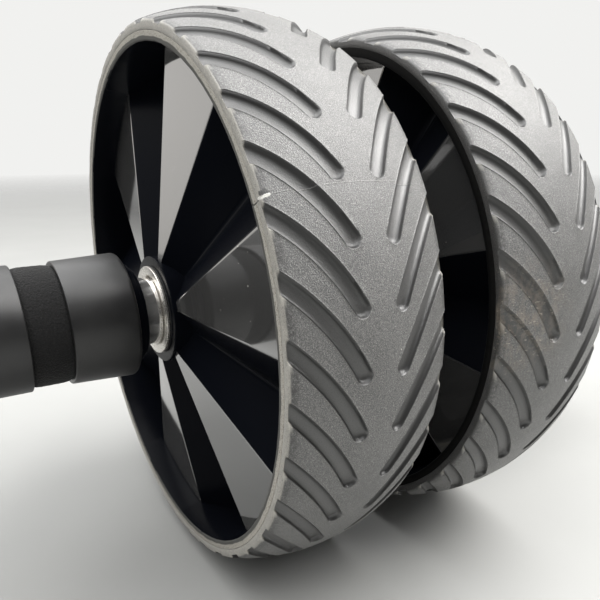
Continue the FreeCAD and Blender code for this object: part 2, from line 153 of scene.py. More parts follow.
class Nodes:
    """The nodes of a material or of the world, with short calls to add and join them."""

    def __init__(self, owner: bpy.types.Material | bpy.types.World, coordinates: str) -> None:
        """Empties the owner's nodes and starts with its coordinates.

        Args:
            owner: The material or the world.
            coordinates: Which coordinates its patterns read.
        """
        owner.use_nodes = True
        self.tree = owner.node_tree
        self.tree.nodes.clear()
        self.place = self.add("TexCoord").outputs[coordinates]

    def feed(self, socket: bpy.types.NodeSocket, value: object) -> None:
        """Sets a socket to a plain value, or joins another node's output to it.

        Args:
            socket: The input to set.
            value: A number, a colour or an output.
        """
        if isinstance(value, bpy.types.NodeSocket):
            self.tree.links.new(value, socket)
        elif isinstance(value, tuple) and len(value) == 3 and socket.type == "RGBA":
            socket.default_value = (*value, 1.0)
        else:
            socket.default_value = value

    def add(
        self, kind: str, inputs: dict[str | int, object] | None = None, **settings: str
    ) -> bpy.types.Node:
        """Adds a node.

        Args:
            kind: Its type, without ShaderNode.
            inputs: Values or outputs for its inputs, by name or number.
            settings: Its other settings, such as operation.

        Returns:
            The node.
        """
        node = self.tree.nodes.new(f"ShaderNode{kind}")
        for name, value in settings.items():
            setattr(node, name, value)
        for name, value in (inputs or {}).items():
            self.feed(node.inputs[name], value)
        return node

    def noise(self, cloud: Cloud) -> Output:
        """Adds a cloudy pattern.

        Args:
            cloud: The pattern's size and layers.

        Returns:
            The pattern's output, from 0 to 1 about 0.5.
        """
        mapped = self.add("Mapping", {"Vector": self.place, "Scale": cloud.stretch}).outputs["Vector"]
        layers = {"Scale": 1 / cloud.size, "Detail": cloud.detail, "Roughness": cloud.rough}
        return self.add("TexNoise", {"Vector": mapped, **layers}).outputs[0]

    def cells(self, size: float) -> Output:
        """Adds scattered cells about a size apart, and gives the distance to the nearest one's middle."""
        return self.add("TexVoronoi", {"Vector": self.place, "Scale": 1 / size}).outputs["Distance"]

    def spread(
        self, value: Number, low: float, high: float, start: Number = 0.0, end: Number = 1.0
    ) -> Output:
        """Maps a range of a value to another range, held at its ends.

        Args:
            value: The value or pattern.
            low: Where the range begins.
            high: Where the range ends, which may be lower.
            start: What low becomes.
            end: What high becomes.

        Returns:
            The mapped value.
        """
        ends = {"From Min": low, "From Max": high, "To Min": start, "To Max": end}
        return self.add("MapRange", {"Value": value, **ends}).outputs["Result"]

    def sum(self, kind: str, first: Number, second: Number) -> Output:
        """Joins two values by an operation such as MULTIPLY."""
        return self.add("Math", {0: first, 1: second}, operation=kind).outputs[0]

    def mix(self, share: Number, first: Tone, second: Tone) -> Output:
        """Mixes two colours.

        Args:
            share: How much of the second colour there is.
            first: The first colour.
            second: The second colour.

        Returns:
            The mixed colour.
        """
        node = self.add("Mix", {"Factor": share}, data_type="RGBA")
        colours = [socket for socket in node.inputs if socket.type == "RGBA"]
        for socket, tone in zip(colours, (first, second)):
            self.feed(socket, tone)
        return next(socket for socket in node.outputs if socket.type == "RGBA")

    def marked(self, name: str) -> Output:
        """Reads a value that a piece's own mesh holds."""
        return self.add("Attribute", attribute_name=name).outputs["Fac"]

    def ray(self, kind: str) -> Output:
        """Gives 1 where a ray is of a kind such as Is Glossy Ray, and 0 elsewhere."""
        return self.add("LightPath").outputs[kind]

    def distance_from(self, point: Triple) -> Output:
        """Measures how far each place is from a point."""
        return self.add("VectorMath", {0: self.place, 1: point}, operation="DISTANCE").outputs["Value"]

    def plane_distance(self, point: Triple, normal: Triple) -> Output:
        """Measures how far each place is from a plane, with a sign."""
        shift = self.add("VectorMath", {0: self.place, 1: point}, operation="SUBTRACT").outputs["Vector"]
        return self.add("VectorMath", {0: shift, 1: normal}, operation="DOT_PRODUCT").outputs["Value"]

    def line_distance(self, start: Triple, end: Triple) -> Output:
        """Measures how far each place is from the line between two points.

        Args:
            start: One end of the line.
            end: The other end.

        Returns:
            The distance.
        """
        way = Vector(end) - Vector(start)
        share = self.spread(self.plane_distance(start, tuple(way.normalized())), 0.0, way.length)
        nearest = self.add("VectorMath", {0: tuple(way), 1: share, 2: start}, operation="MULTIPLY_ADD")
        ends = {0: self.place, 1: nearest.outputs["Vector"]}
        return self.add("VectorMath", ends, operation="DISTANCE").outputs["Value"]


class Board(Nodes):
    """A material's nodes, round one shader, on Object coordinates."""

    def __init__(self, name: str) -> None:
        """Starts the material.

        Args:
            name: The material's name.
        """
        self.material = bpy.data.materials.new(name)
        super().__init__(self.material, "Object")
        self.shader = self.add("BsdfPrincipled")
        self.add("OutputMaterial", {"Surface": self.shader.outputs["BSDF"]})

    def set(self, **values: object) -> None:
        """Sets the shader's inputs by name, with underscores for spaces."""
        for name, value in values.items():
            self.feed(self.shader.inputs[name.replace("_", " ")], value)

    def emboss(self, height: Output, depth: float, strength: float) -> None:
        """Adds a relief to the surface, on top of any that is there.

        Args:
            height: The pattern that is high where it is 1.
            depth: How high that is.
            strength: How much of the relief shows.
        """
        node = self.add("Bump", {"Height": height, "Distance": depth, "Strength": strength})
        normal = self.shader.inputs["Normal"]
        if normal.is_linked:
            self.feed(node.inputs["Normal"], normal.links[0].from_socket)
        self.feed(normal, node.outputs["Normal"])


class Sky(Nodes):
    """The world's nodes, round one background, on the direction that is looked in."""

    def __init__(self, name: str) -> None:
        """Starts the world and gives it to the scene.

        Args:
            name: The world's name.
        """
        world = bpy.data.worlds.new(name)
        bpy.context.scene.world = world
        super().__init__(world, "Generated")
        self.background = self.add("Background")
        self.add("OutputWorld", {"Surface": self.background.outputs["Background"]})

    def set(self, colour: Colour, strength: Number) -> None:
        """Sets the background's colour and how bright it is."""
        self.feed(self.background.inputs["Color"], colour)
        self.feed(self.background.inputs["Strength"], strength)


@dataclass(frozen=True)
class Finish:
    """What every finish has: a name, and a material that is made once.

    In the finishes, a band is what Nodes.spread takes after its value, and a relief is what Board.emboss
    takes after its pattern.
    """

    name: str

    @lru_cache(maxsize=None)
    def material(self) -> bpy.types.Material:
        """Makes the material the first time it is asked for.

        Returns:
            The material.
        """
        board = Board(self.name)
        self.dress(board)
        return board.material

    def dress(self, board: Board) -> None:
        """Builds the finish on a board; each kind of finish has its own."""
        raise NotImplementedError


@dataclass(frozen=True)
class Nick:
    """A torn spot at a tyre's shoulder: a pale flake, the hole above it and a crack, each along a bent line.

    ragged is how far a mark's edge wanders, and core how far its full colour reaches, as shares of its half
    width.
    """

    flake: tuple[Triple, ...] = (
        (0.07283, -0.0590, 0.13129), (0.07400, -0.0589, 0.13165), (0.07451, -0.0573, 0.13225))
    hole: tuple[Triple, ...] = (
        (0.07356, -0.0589, 0.13254), (0.07381, -0.0581, 0.13284), (0.07422, -0.0576, 0.13253))
    crack: tuple[Triple, ...] = (
        (0.07288, -0.0590, 0.13093), (0.07079, -0.0590, 0.12977), (0.0694, -0.0590, 0.1297))
    flake_half: float = 0.00042
    hole_half: float = 0.0008
    crack_half: float = 0.0002
    pale: Colour = (0.66, 0.65, 0.61)
    # The hole and the crack are painted near-black: painted shade in cavities that the mesh doesn't cut.
    dark: Colour = (0.012, 0.0115, 0.011)
    wander: Cloud = Cloud(0.0008, 3.0, 0.6)
    wander_band: Band = (0.3, 0.7, -1.0, 1.0)
    ragged: float = 0.35
    core: float = 0.6

    def mark(self, board: Board, body: Tone) -> Output:
        """Adds the nick to a colour.

        Args:
            board: The material's board.
            body: The colour so far.

        Returns:
            The colour with the crack, the hole and the flake.
        """
        marks = ((self.crack, self.crack_half, self.dark), (self.hole, self.hole_half, self.dark),
                 (self.flake, self.flake_half, self.pale))
        wander = board.spread(board.noise(self.wander), *self.wander_band)
        for line, half, tone in marks:
            parts = [board.line_distance(*ends) for ends in zip(line, line[1:])]
            shift = board.sum("MULTIPLY", wander, self.ragged * half)
            away = board.sum("ADD", board.sum("MINIMUM", *parts), shift)
            body = board.mix(board.spread(away, half, self.core * half), body, tone)
        return body


@dataclass(frozen=True)
class TreadRubber(Finish):
    """Charcoal moulded rubber: a sandy tread, grooves with painted shade on their walls, a painted highlight
    by each groove's end, a paler side and a mould seam.
    """

    deep: Colour = (0.078, 0.0778, 0.077)
    pale: Colour = (0.120, 0.1195, 0.117)
    # Painted shade: the next colour is for the groove walls, and the one after it for the groove floor, a
    # little darker than the land.
    inside: Colour = (0.022, 0.0218, 0.0213)
    settled: Colour = (0.070, 0.0697, 0.068)
    flank: Colour = (0.37, 0.353, 0.315)
    rubbed: Colour = (0.34, 0.335, 0.315)
    # The worn colour serves both pale dust specks on the land and a painted highlight by each groove's end.
    worn: Colour = (0.52, 0.50, 0.45)
    shade: Colour = (0.022, 0.021, 0.020)
    dust: Colour = (0.27, 0.225, 0.175)
    flank_dust: Colour = (0.55, 0.50, 0.42)
    cloud: Cloud = Cloud(0.014, 4.0, 0.6)
    cloud_band: Band = (0.3, 0.7)
    cloud_relief: Relief = (0.00025, 0.3)
    sand: Cloud = Cloud(0.00027, 2.0, 0.75)
    bright_sand_band: Band = (0.52, 0.68, 0.0, 0.75)
    dark_sand_band: Band = (0.48, 0.32, 0.0, 0.85)
    groove_sand_band: Band = (0.5, 0.32, 0.0, 0.6)
    side_sand_band: Band = (0.52, 0.3, 0.0, 0.9)
    sand_relief: Relief = (0.00022, 0.8)
    groove_sand_height: float = 0.4
    off_groove_band: Band = (0.06, 0.02)
    in_groove_band: Band = (0.02, 0.10)
    off_side_band: Band = (0.6, 0.1)
    mottle: Cloud = Cloud(0.0022, 5.0, 0.7)
    mottle_band: Band = (0.35, 0.65)
    side_fade: float = 0.8
    blotch: Cloud = Cloud(0.0009, 4.0, 0.7)
    blotch_band: Band = (0.42, 0.6, 0.1, 0.8)
    # How much painted highlight lies at one corner of each groove's end by the shoulder.
    edge_wear: float = 0.5
    speck_size: float = 0.007
    speck_band: Band = (0.03, 0.018)
    patch: Cloud = Cloud(0.025)
    patch_band: Band = (0.48, 0.56)
    low: float = 0.38
    high: float = 0.46
    ior: float = 1.75
    seam_deg: float = 29.6
    seam_half: float = 0.00007
    seam_relief: Relief = (0.00012, 0.6)
    seam_share: float = 0.18
    nick: Nick | None = None
    scuff: Triple | None = None
    scuff_reach: float = 0.021
    scuff_core: float = 0.3
    streak: Cloud = Cloud(0.004, 6.0, 0.8, (1.0, 1.6, 0.9))
    streak_band: Band = (0.45, 0.62)
    streak_share: float = 0.5
    scratch: Cloud = Cloud(0.0008, 3.0, 0.6, (1.0, 0.25, 1.0))
    scratch_band: Band = (0.62, 0.7)
    scratch_share: float = 0.6

    def dress(self, board: Board) -> None:
        """Builds the rubber from clouds, grain and the marks that the tyre's mesh carries.

        Args:
            board: The material's board.
        """
        groove, side = board.marked("groove"), board.marked("side")
        off_groove = board.spread(groove, *self.off_groove_band)
        plain = board.sum("MULTIPLY", off_groove, board.spread(side, *self.off_side_band))
        cloud, sand = board.noise(self.cloud), board.noise(self.sand)
        body = board.mix(board.spread(cloud, *self.cloud_band), self.deep, self.pale)
        for band, tone in ((self.bright_sand_band, self.rubbed), (self.dark_sand_band, self.shade)):
            body = board.mix(board.sum("MULTIPLY", board.spread(sand, *band), plain), body, tone)
        # Painted shade: the grooves are painted darker than the land, and darkest on their walls.
        groove_shaded_tone = board.mix(board.marked("bare"), self.settled, self.inside)
        groove_shaded_tone = board.mix(board.spread(sand, *self.groove_sand_band), groove_shaded_tone, self.inside)
        body = board.mix(board.spread(groove, *self.in_groove_band), body, groove_shaded_tone)
        body = board.mix(side, body, self.side_tone(board, sand))
        blotch = board.spread(board.noise(self.blotch), *self.blotch_band)
        body = board.mix(board.sum("MULTIPLY", board.marked("strip"), blotch), body, self.shade)
        # Painted highlight: one corner of each groove's end by the shoulder is painted pale.
        body = board.mix(board.sum("MULTIPLY", board.marked("edge"), self.edge_wear), body, self.worn)
        specks = board.spread(board.cells(self.speck_size), *self.speck_band)
        patch = board.sum("MULTIPLY", board.spread(board.noise(self.patch), *self.patch_band), plain)
        body = board.mix(board.sum("MULTIPLY", specks, patch), body, self.worn)
        body = self.add_damage(board, self.add_seam(board, body))
        rough = board.spread(plain, 0.0, 1.0, self.low, self.high)
        board.set(Base_Color=body, Roughness=rough, IOR=self.ior)
        sandy = board.sum("MAXIMUM", board.spread(plain, 0.0, 1.0, self.groove_sand_height, 1.0), side)
        board.emboss(board.sum("MULTIPLY", sand, sandy), *self.sand_relief)
        board.emboss(cloud, *self.cloud_relief)

    def side_tone(self, board: Board, sand: Output) -> Output:
        """Gives the colour of the tyre's side.

        Args:
            board: The material's board.
            sand: The rubber's fine grain.

        Returns:
            The colour, mottled and sandy.
        """
        mottle = board.spread(board.noise(self.mottle), *self.mottle_band)
        tone = board.mix(mottle, self.flank, dimmed(self.flank, self.side_fade))
        return board.mix(board.spread(sand, *self.side_sand_band), tone, self.pale)

    def add_seam(self, board: Board, body: Output) -> Output:
        """Adds the fine flash line where the mould's two parts met.

        Args:
            board: The material's board.
            body: The colour so far.

        Returns:
            The colour with the seam.
        """
        angle = math.radians(self.seam_deg)
        off = board.plane_distance((0.0, 0.0, AXLE_HEIGHT), (-math.sin(angle), 0.0, math.cos(angle)))
        line = board.spread(board.sum("ABSOLUTE", off, 0.0), 2 * self.seam_half, self.seam_half)
        board.emboss(line, *self.seam_relief)
        return board.mix(board.sum("MULTIPLY", line, self.seam_share), body, self.rubbed)

    def add_damage(self, board: Board, body: Output) -> Output:
        """Adds the dusty scuff and the nick at the shoulder, where there are any.

        Args:
            board: The material's board.
            body: The colour so far.

        Returns:
            The colour with the damage.
        """
        if self.scuff:
            core = self.scuff_core * self.scuff_reach
            near = board.spread(board.distance_from(self.scuff), self.scuff_reach, core)
            layers = ((self.streak, self.streak_band, self.streak_share, self.dust),
                      (self.scratch, self.scratch_band, self.scratch_share, self.flank_dust))
            for pattern, band, share, tone in layers:
                shown = board.sum("MULTIPLY", near, board.spread(board.noise(pattern), *band))
                body = board.mix(board.sum("MULTIPLY", shown, share), body, tone)
        return self.nick.mark(board, body) if self.nick else body


@dataclass(frozen=True)
class GlossPlastic(Finish):
    """Black moulded plastic: mirror-bright facets, satin walls and a paler rubbed lip, with specks of dust.

    specks holds, for each kind of speck, how far apart they are and the band of their edge.
    """

    body: Colour = (0.0032, 0.0038, 0.0058)
    # A pale film on the polished faces only: dust, and painted reflection that lifts them above the walls.
    film: Colour = (0.046, 0.0458, 0.0450)
    dust: Colour = (0.42, 0.41, 0.38)
    specks: tuple[Triple, ...] = ((0.0062, 0.05, 0.03), (0.0027, 0.06, 0.04))
    patch: Cloud = Cloud(0.011)
    patch_band: Band = (0.44, 0.54)
    smudge: Cloud = Cloud(0.03, 4.0, 0.55)
    smudge_band: Band = (0.4, 0.75)
    gloss: float = 0.07
    haze: float = 0.14
    satin: float = 0.25
    ior: float = 1.12
    coat_rough: float = 0.06
    coat_ior: float = 3.0
    wave: Cloud = Cloud(0.012, 2.0)
    wave_relief: Relief = (0.00002, 0.25)
    lip: Colour = (0.37, 0.353, 0.315)
    lip_inside: Colour = (0.085, 0.084, 0.079)
    lip_split: float = 0.0807
    lip_split_width: float = 0.0002
    lip_wave: Cloud = Cloud(0.004, 4.0)
    lip_wave_band: Band = (0.3, 0.7, -0.0002, 0.0002)
    lip_sand: Cloud = Cloud(0.00032, 2.0, 0.75)
    lip_sand_band: Band = (0.52, 0.3, 0.0, 0.9)
    lip_fade: float = 0.3
    lip_rough: float = 0.5
    nick: Nick | None = None

    def dress(self, board: Board) -> None:
        """Builds the plastic; the mesh marks which faces are polished and which belong to the lip.

        Args:
            board: The material's board.
        """
        polished, lip = board.marked("gloss"), board.marked("lip")
        dots = [board.spread(board.cells(size), *band) for size, *band in self.specks]
        specks = board.sum("MAXIMUM", *dots)
        patch = board.sum("MULTIPLY", board.spread(board.noise(self.patch), *self.patch_band), polished)
        # Painted reflection: the polished faces are painted paler than the walls, which also carries their
        # dust.
        tone = board.mix(polished, self.body, self.film)
        tone = board.mix(board.sum("MULTIPLY", specks, patch), tone, self.dust)
        mirror = board.spread(board.noise(self.smudge), *self.smudge_band, self.gloss, self.haze)
        soft = board.spread(lip, 0.0, 1.0, self.satin, self.lip_rough)
        rough = board.sum("ADD", board.sum("MULTIPLY", polished, mirror),
                          board.sum("MULTIPLY", board.spread(polished, 1.0, 0.0), soft))
        board.set(Base_Color=board.mix(lip, tone, self.lip_tone(board)), Roughness=rough, IOR=self.ior)
        board.set(Coat_Weight=polished, Coat_Roughness=self.coat_rough, Coat_IOR=self.coat_ior)
        board.emboss(board.noise(self.wave), *self.wave_relief)

    def lip_tone(self, board: Board) -> Output:
        """Gives the lip's colour: a dark ring inside, then a rubbed ring with a sandy grain.

        Args:
            board: The material's board.

        Returns:
            The colour.
        """
        radius = board.line_distance((0.0, -1.0, AXLE_HEIGHT), (0.0, 1.0, AXLE_HEIGHT))
        wavy = board.sum("ADD", radius, board.spread(board.noise(self.lip_wave), *self.lip_wave_band))
        sand = board.spread(board.noise(self.lip_sand), *self.lip_sand_band)
        rubbed = board.mix(sand, self.lip, dimmed(self.lip, self.lip_fade))
        outside = board.spread(wavy, self.lip_split, self.lip_split + self.lip_split_width)
        ring = board.mix(outside, self.lip_inside, rubbed)
        return self.nick.mark(board, ring) if self.nick else ring


@dataclass(frozen=True)
class BrightMetal(Finish):
    """Plated steel, polished or satin, with fine marks round the axle."""

    tone: Colour = (0.80, 0.79, 0.77)
    worn: Colour = (0.52, 0.49, 0.46)
    worn_band: Band = (0.45, 0.75, 0.0, 0.5)
    low: float = 0.05
    high: float = 0.14
    rough_band: Band = (0.7, 1.4)
    bare: float = 0.84
    turned: Cloud = Cloud(0.00012, 3.0, 0.6, (0.04, 1.0, 0.04))
    turned_relief: Relief = (0.000004, 0.03)
    cloud: Cloud = Cloud(0.006, 4.0, 0.6)

    def dress(self, board: Board) -> None:
        """Builds the plating with turned marks and cloudy wear.

        Args:
            board: The material's board.
        """
        marks, cloud = board.noise(self.turned), board.noise(self.cloud)
        tone = board.mix(board.spread(cloud, *self.worn_band), self.tone, self.worn)
        rough = board.spread(board.sum("ADD", marks, cloud), *self.rough_band, self.low, self.high)
        board.set(Base_Color=tone, Metallic=self.bare, Roughness=rough)
        board.emboss(marks, *self.turned_relief)


@dataclass(frozen=True)
class SatinPlastic(Finish):
    """Satin plastic with an even fine skin, a little paler where hands rub it."""

    tone: Colour = (0.0105, 0.0105, 0.011)
    rubbed: Colour = (0.017, 0.0168, 0.0166)
    rubbed_band: Band = (0.35, 0.7)
    dust: Colour = (0.3, 0.29, 0.27)
    speck_size: float = 0.0035
    speck_band: Band = (0.04, 0.025, 0.0, 0.25)
    low: float = 0.36
    high: float = 0.46
    rough_band: Band = (0.3, 0.7)
    ior: float = 1.56
    cloud: Cloud = Cloud(0.012, 4.0, 0.6)
    skin: Cloud = Cloud(0.00035, 2.0, 0.6)
    skin_relief: Relief = (0.00003, 0.5)

    def dress(self, board: Board) -> None:
        """Builds the satin skin from a fine grain and soft clouds.

        Args:
            board: The material's board.
        """
        cloud = board.noise(self.cloud)
        specks = board.spread(board.cells(self.speck_size), *self.speck_band)
        tone = board.mix(board.spread(cloud, *self.rubbed_band), self.tone, self.rubbed)
        board.set(Base_Color=board.mix(specks, tone, self.dust), IOR=self.ior)
        board.set(Roughness=board.spread(cloud, *self.rough_band, self.low, self.high))
        board.emboss(board.noise(self.skin), *self.skin_relief)


@dataclass(frozen=True)
class GripFoam(Finish):
    """Black closed-cell foam with fine pores that catch a little light."""

    tone: Colour = (0.0025, 0.0025, 0.0027)
    fleck: Colour = (0.024, 0.0238, 0.0235)
    fleck_band: Band = (0.5, 0.75)
    pore_size: float = 0.0006
    pore_relief: Relief = (0.00022, 0.9)
    fine: Cloud = Cloud(0.00036, 3.0, 0.7)
    fine_relief: Relief = (0.00012, 0.7)
    rough: float = 0.92
    ior: float = 1.4
    sheen: float = 0.06
    sheen_rough: float = 0.6

    def dress(self, board: Board) -> None:
        """Builds the pores at two sizes.

        Args:
            board: The material's board.
        """
        fine = board.noise(self.fine)
        tone = board.mix(board.spread(fine, *self.fleck_band), self.tone, self.fleck)
        board.set(Base_Color=tone, Roughness=self.rough, IOR=self.ior)
        board.set(Sheen_Weight=self.sheen, Sheen_Roughness=self.sheen_rough)
        board.emboss(board.cells(self.pore_size), *self.pore_relief)
        board.emboss(fine, *self.fine_relief)


TREAD_NICKED = TreadRubber("tread_left", nick=Nick())
# The right tyre's side is painted near-black: painted shade where the left wheel shadows it.
TREAD_SCUFFED = TreadRubber(
    "tread_right", flank=(0.03, 0.0292, 0.028), seam_deg=118.0, scuff=(0.0872, 0.0172, 0.0945))
RIM_RUBBED = GlossPlastic("rim_gloss_rubbed", nick=Nick())
# The right rim's lip is painted near-black on both halves: painted shade from the gap beside the left wheel.
RIM_SHADED_LIP = GlossPlastic("rim_gloss_black", lip=(0.009, 0.0088, 0.0085), lip_inside=(0.005, 0.005, 0.005))
CORE_SATIN = GlossPlastic("core_black", satin=0.26)
CHROME = BrightMetal("axle_chrome")
WASHER_STEEL = BrightMetal(
    "washer_plating", tone=(0.60, 0.58, 0.54), low=0.22, high=0.34, turned=Cloud(0.0005, 3.0, 0.6))
GRIP_SATIN = SatinPlastic("grip_satin")
NYLON = SatinPlastic("bush_nylon", tone=(0.028, 0.028, 0.028), rubbed=(0.04, 0.04, 0.04))
FOAM = GripFoam("grip_foam")


# Building blocks


@dataclass(frozen=True)
class AxlePlace:
    """A place on the axle, for a piece whose own Z points along it.

    facing is the sign of Y that the piece's Z points to, across is its place along Y, and turn_deg turns it
    about the axle, from +X towards +Z.
    """

    facing: int
    across: float
    turn_deg: float = 0.0

    def matrix(self) -> Matrix:
        """Works out how the piece gets there.

        Returns:
            The matrix that takes it there.
        """
        flip = Matrix.Rotation(-self.facing * FULL_TURN / 4, 4, "X")
        spin = Matrix.Rotation(math.radians(-self.facing * self.turn_deg), 4, "Z")
        return Matrix.Translation((0.0, self.across, AXLE_HEIGHT)) @ flip @ spin


@dataclass(frozen=True)
class Corner:
    """A corner of a turned outline: its radius, its place along the axle and how far it is rounded."""

    radius: float
    place: float
    rounding: float = 0.0


def clamped(value: float) -> float:
    """Holds a value between 0 and 1."""
    return max(0.0, min(1.0, value))


def draw_section(
    corners: Sequence[tuple[float, float]], closed: bool = True
) -> tuple[bmesh.types.BMesh, bmesh.types.BMLayerItem, list]:
    """Draws a section in the plane of X and Z, with each corner's number on its point.

    Args:
        corners: The (radius, place) corners in order.
        closed: Whether the last corner is joined to the first.

    Returns:
        The mesh, the layer that holds the numbers, and the section's points and edges.
    """
    mesh = bmesh.new()
    row_mark = mesh.verts.layers.int.new("row")
    points = []
    for index, (radius, place) in enumerate(corners):
        point = mesh.verts.new((radius, 0.0, place))
        point[row_mark] = index
        points.append(point)
    after = points[1:] + points[:1] if closed else points[1:]
    return mesh, row_mark, points + [mesh.edges.new(pair) for pair in zip(points, after)]


def spin_section(mesh: bmesh.types.BMesh, section: list, steps: int, angle: float = FULL_TURN) -> None:
    """Spins a section about Z.

    Args:
        mesh: The mesh that holds it.
        section: Its points and edges, and its face if the ring stays open.
        steps: How many columns go round.
        angle: How far it goes round.
    """
    bmesh.ops.spin(mesh, geom=section, cent=ORIGIN, axis=UP, dvec=ORIGIN, angle=angle, steps=steps,
                   use_merge=angle == FULL_TURN, use_normal_flip=False, use_duplicate=False)


def round_row(
    mesh: bmesh.types.BMesh, row_mark: bmesh.types.BMLayerItem, row: int, size: float, segments: int
) -> None:
    """Rounds the ring of edges that one corner of a spun section made.

    Args:
        mesh: The spun section.
        row_mark: The layer that holds each point's corner.
        row: The corner.
        size: How far the rounding reaches from each edge.
        segments: How many faces go across it.
    """
    edges = [edge for edge in mesh.edges if all(point[row_mark] == row for point in edge.verts)]
    bmesh.ops.bevel(mesh, geom=edges, offset=size, offset_type="OFFSET", segments=segments, profile=0.5,
                    affect="EDGES", clamp_overlap=False, material=-1, loop_slide=True)


def turn(outline: Sequence[Corner], steps: int = TURN_STEPS, opening_deg: float = 0.0) -> bmesh.types.BMesh:
    """Turns an outline about Z and rounds its corners.

    Args:
        outline: The corners in order. An outline that starts and ends on the axis stays open there.
        steps: How many faces go round.
        opening_deg: The angle that is left open, as in a split ring.

    Returns:
        The mesh, closed, with its faces pointing outwards.
    """
    on_axis = outline[0].radius == 0.0 and outline[-1].radius == 0.0
    corners = [(corner.radius, corner.place) for corner in outline]
    mesh, row_mark, section = draw_section(corners, closed=not on_axis)
    split = opening_deg > 0.0
    if split:
        section.append(mesh.faces.new(section[:len(outline)]))
    spin_section(mesh, section, steps, FULL_TURN - math.radians(opening_deg))
    caps = [face for face in mesh.faces if len(face.verts) == len(outline)]
    if split and not any(abs(face.normal.y) > CAP_FACING for face in caps):
        bmesh.ops.holes_fill(mesh, edges=[edge for edge in mesh.edges if edge.is_boundary], sides=0)
    bmesh.ops.remove_doubles(mesh, verts=mesh.verts, dist=MERGE_DISTANCE)
    bmesh.ops.recalc_face_normals(mesh, faces=mesh.faces)
    for row, corner in enumerate(outline):
        if corner.rounding > 0.0:
            round_row(mesh, row_mark, row, corner.rounding, ROUND_SEGMENTS)
    return mesh


@dataclass(frozen=True)
class Piece:
    """How a finished mesh joins the model: its name, body, finish, and the nodes that it stands for; it also
    holds its slot, which publish doesn't use.
    """

    name: str
    body: str
    slot: Slot
    finish: Finish
    nodes: tuple[str, ...]
    sharp_deg: float = 32.0
    weighted: bool = False

    def publish(self, mesh: bmesh.types.BMesh, place: AxlePlace) -> bpy.types.Object:
        """Puts the mesh in its place and on its body.

        Args:
            mesh: The finished mesh, with its own Z along the axle.
            place: Where it goes.

        Returns:
            The object, at the origin, with its place in its mesh.
        """
        bmesh.ops.transform(mesh, matrix=place.matrix(), verts=mesh.verts)
        data = bpy.data.meshes.new(self.name)
        mesh.to_mesh(data)
        mesh.free()
        data.shade_smooth()
        data.set_sharp_from_angle(angle=math.radians(self.sharp_deg))
        data.materials.append(self.finish.material())
        piece = bpy.data.objects.new(self.name, data)
        bpy.context.scene.collection.objects.link(piece)
        if self.weighted:
            flat = piece.modifiers.new("flat_faces", "WEIGHTED_NORMAL")
            flat.keep_sharp = True
            flat.weight = FACE_WEIGHT
        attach(piece, self.body)
        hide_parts(*self.nodes)
        LOG.info("%s: %d faces", self.name, len(data.polygons))
        return piece


def span(node: str) -> tuple[float, float, float]:
    """Reads a turned node's size from the frame.

    Args:
        node: The CAD node.

    Returns:
        Its near and far distance from the middle of the axle, and its radius.
    """
    low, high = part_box(node)
    near, far = sorted((abs(low.y), abs(high.y)))
    return near, far, high.x


# Wheels


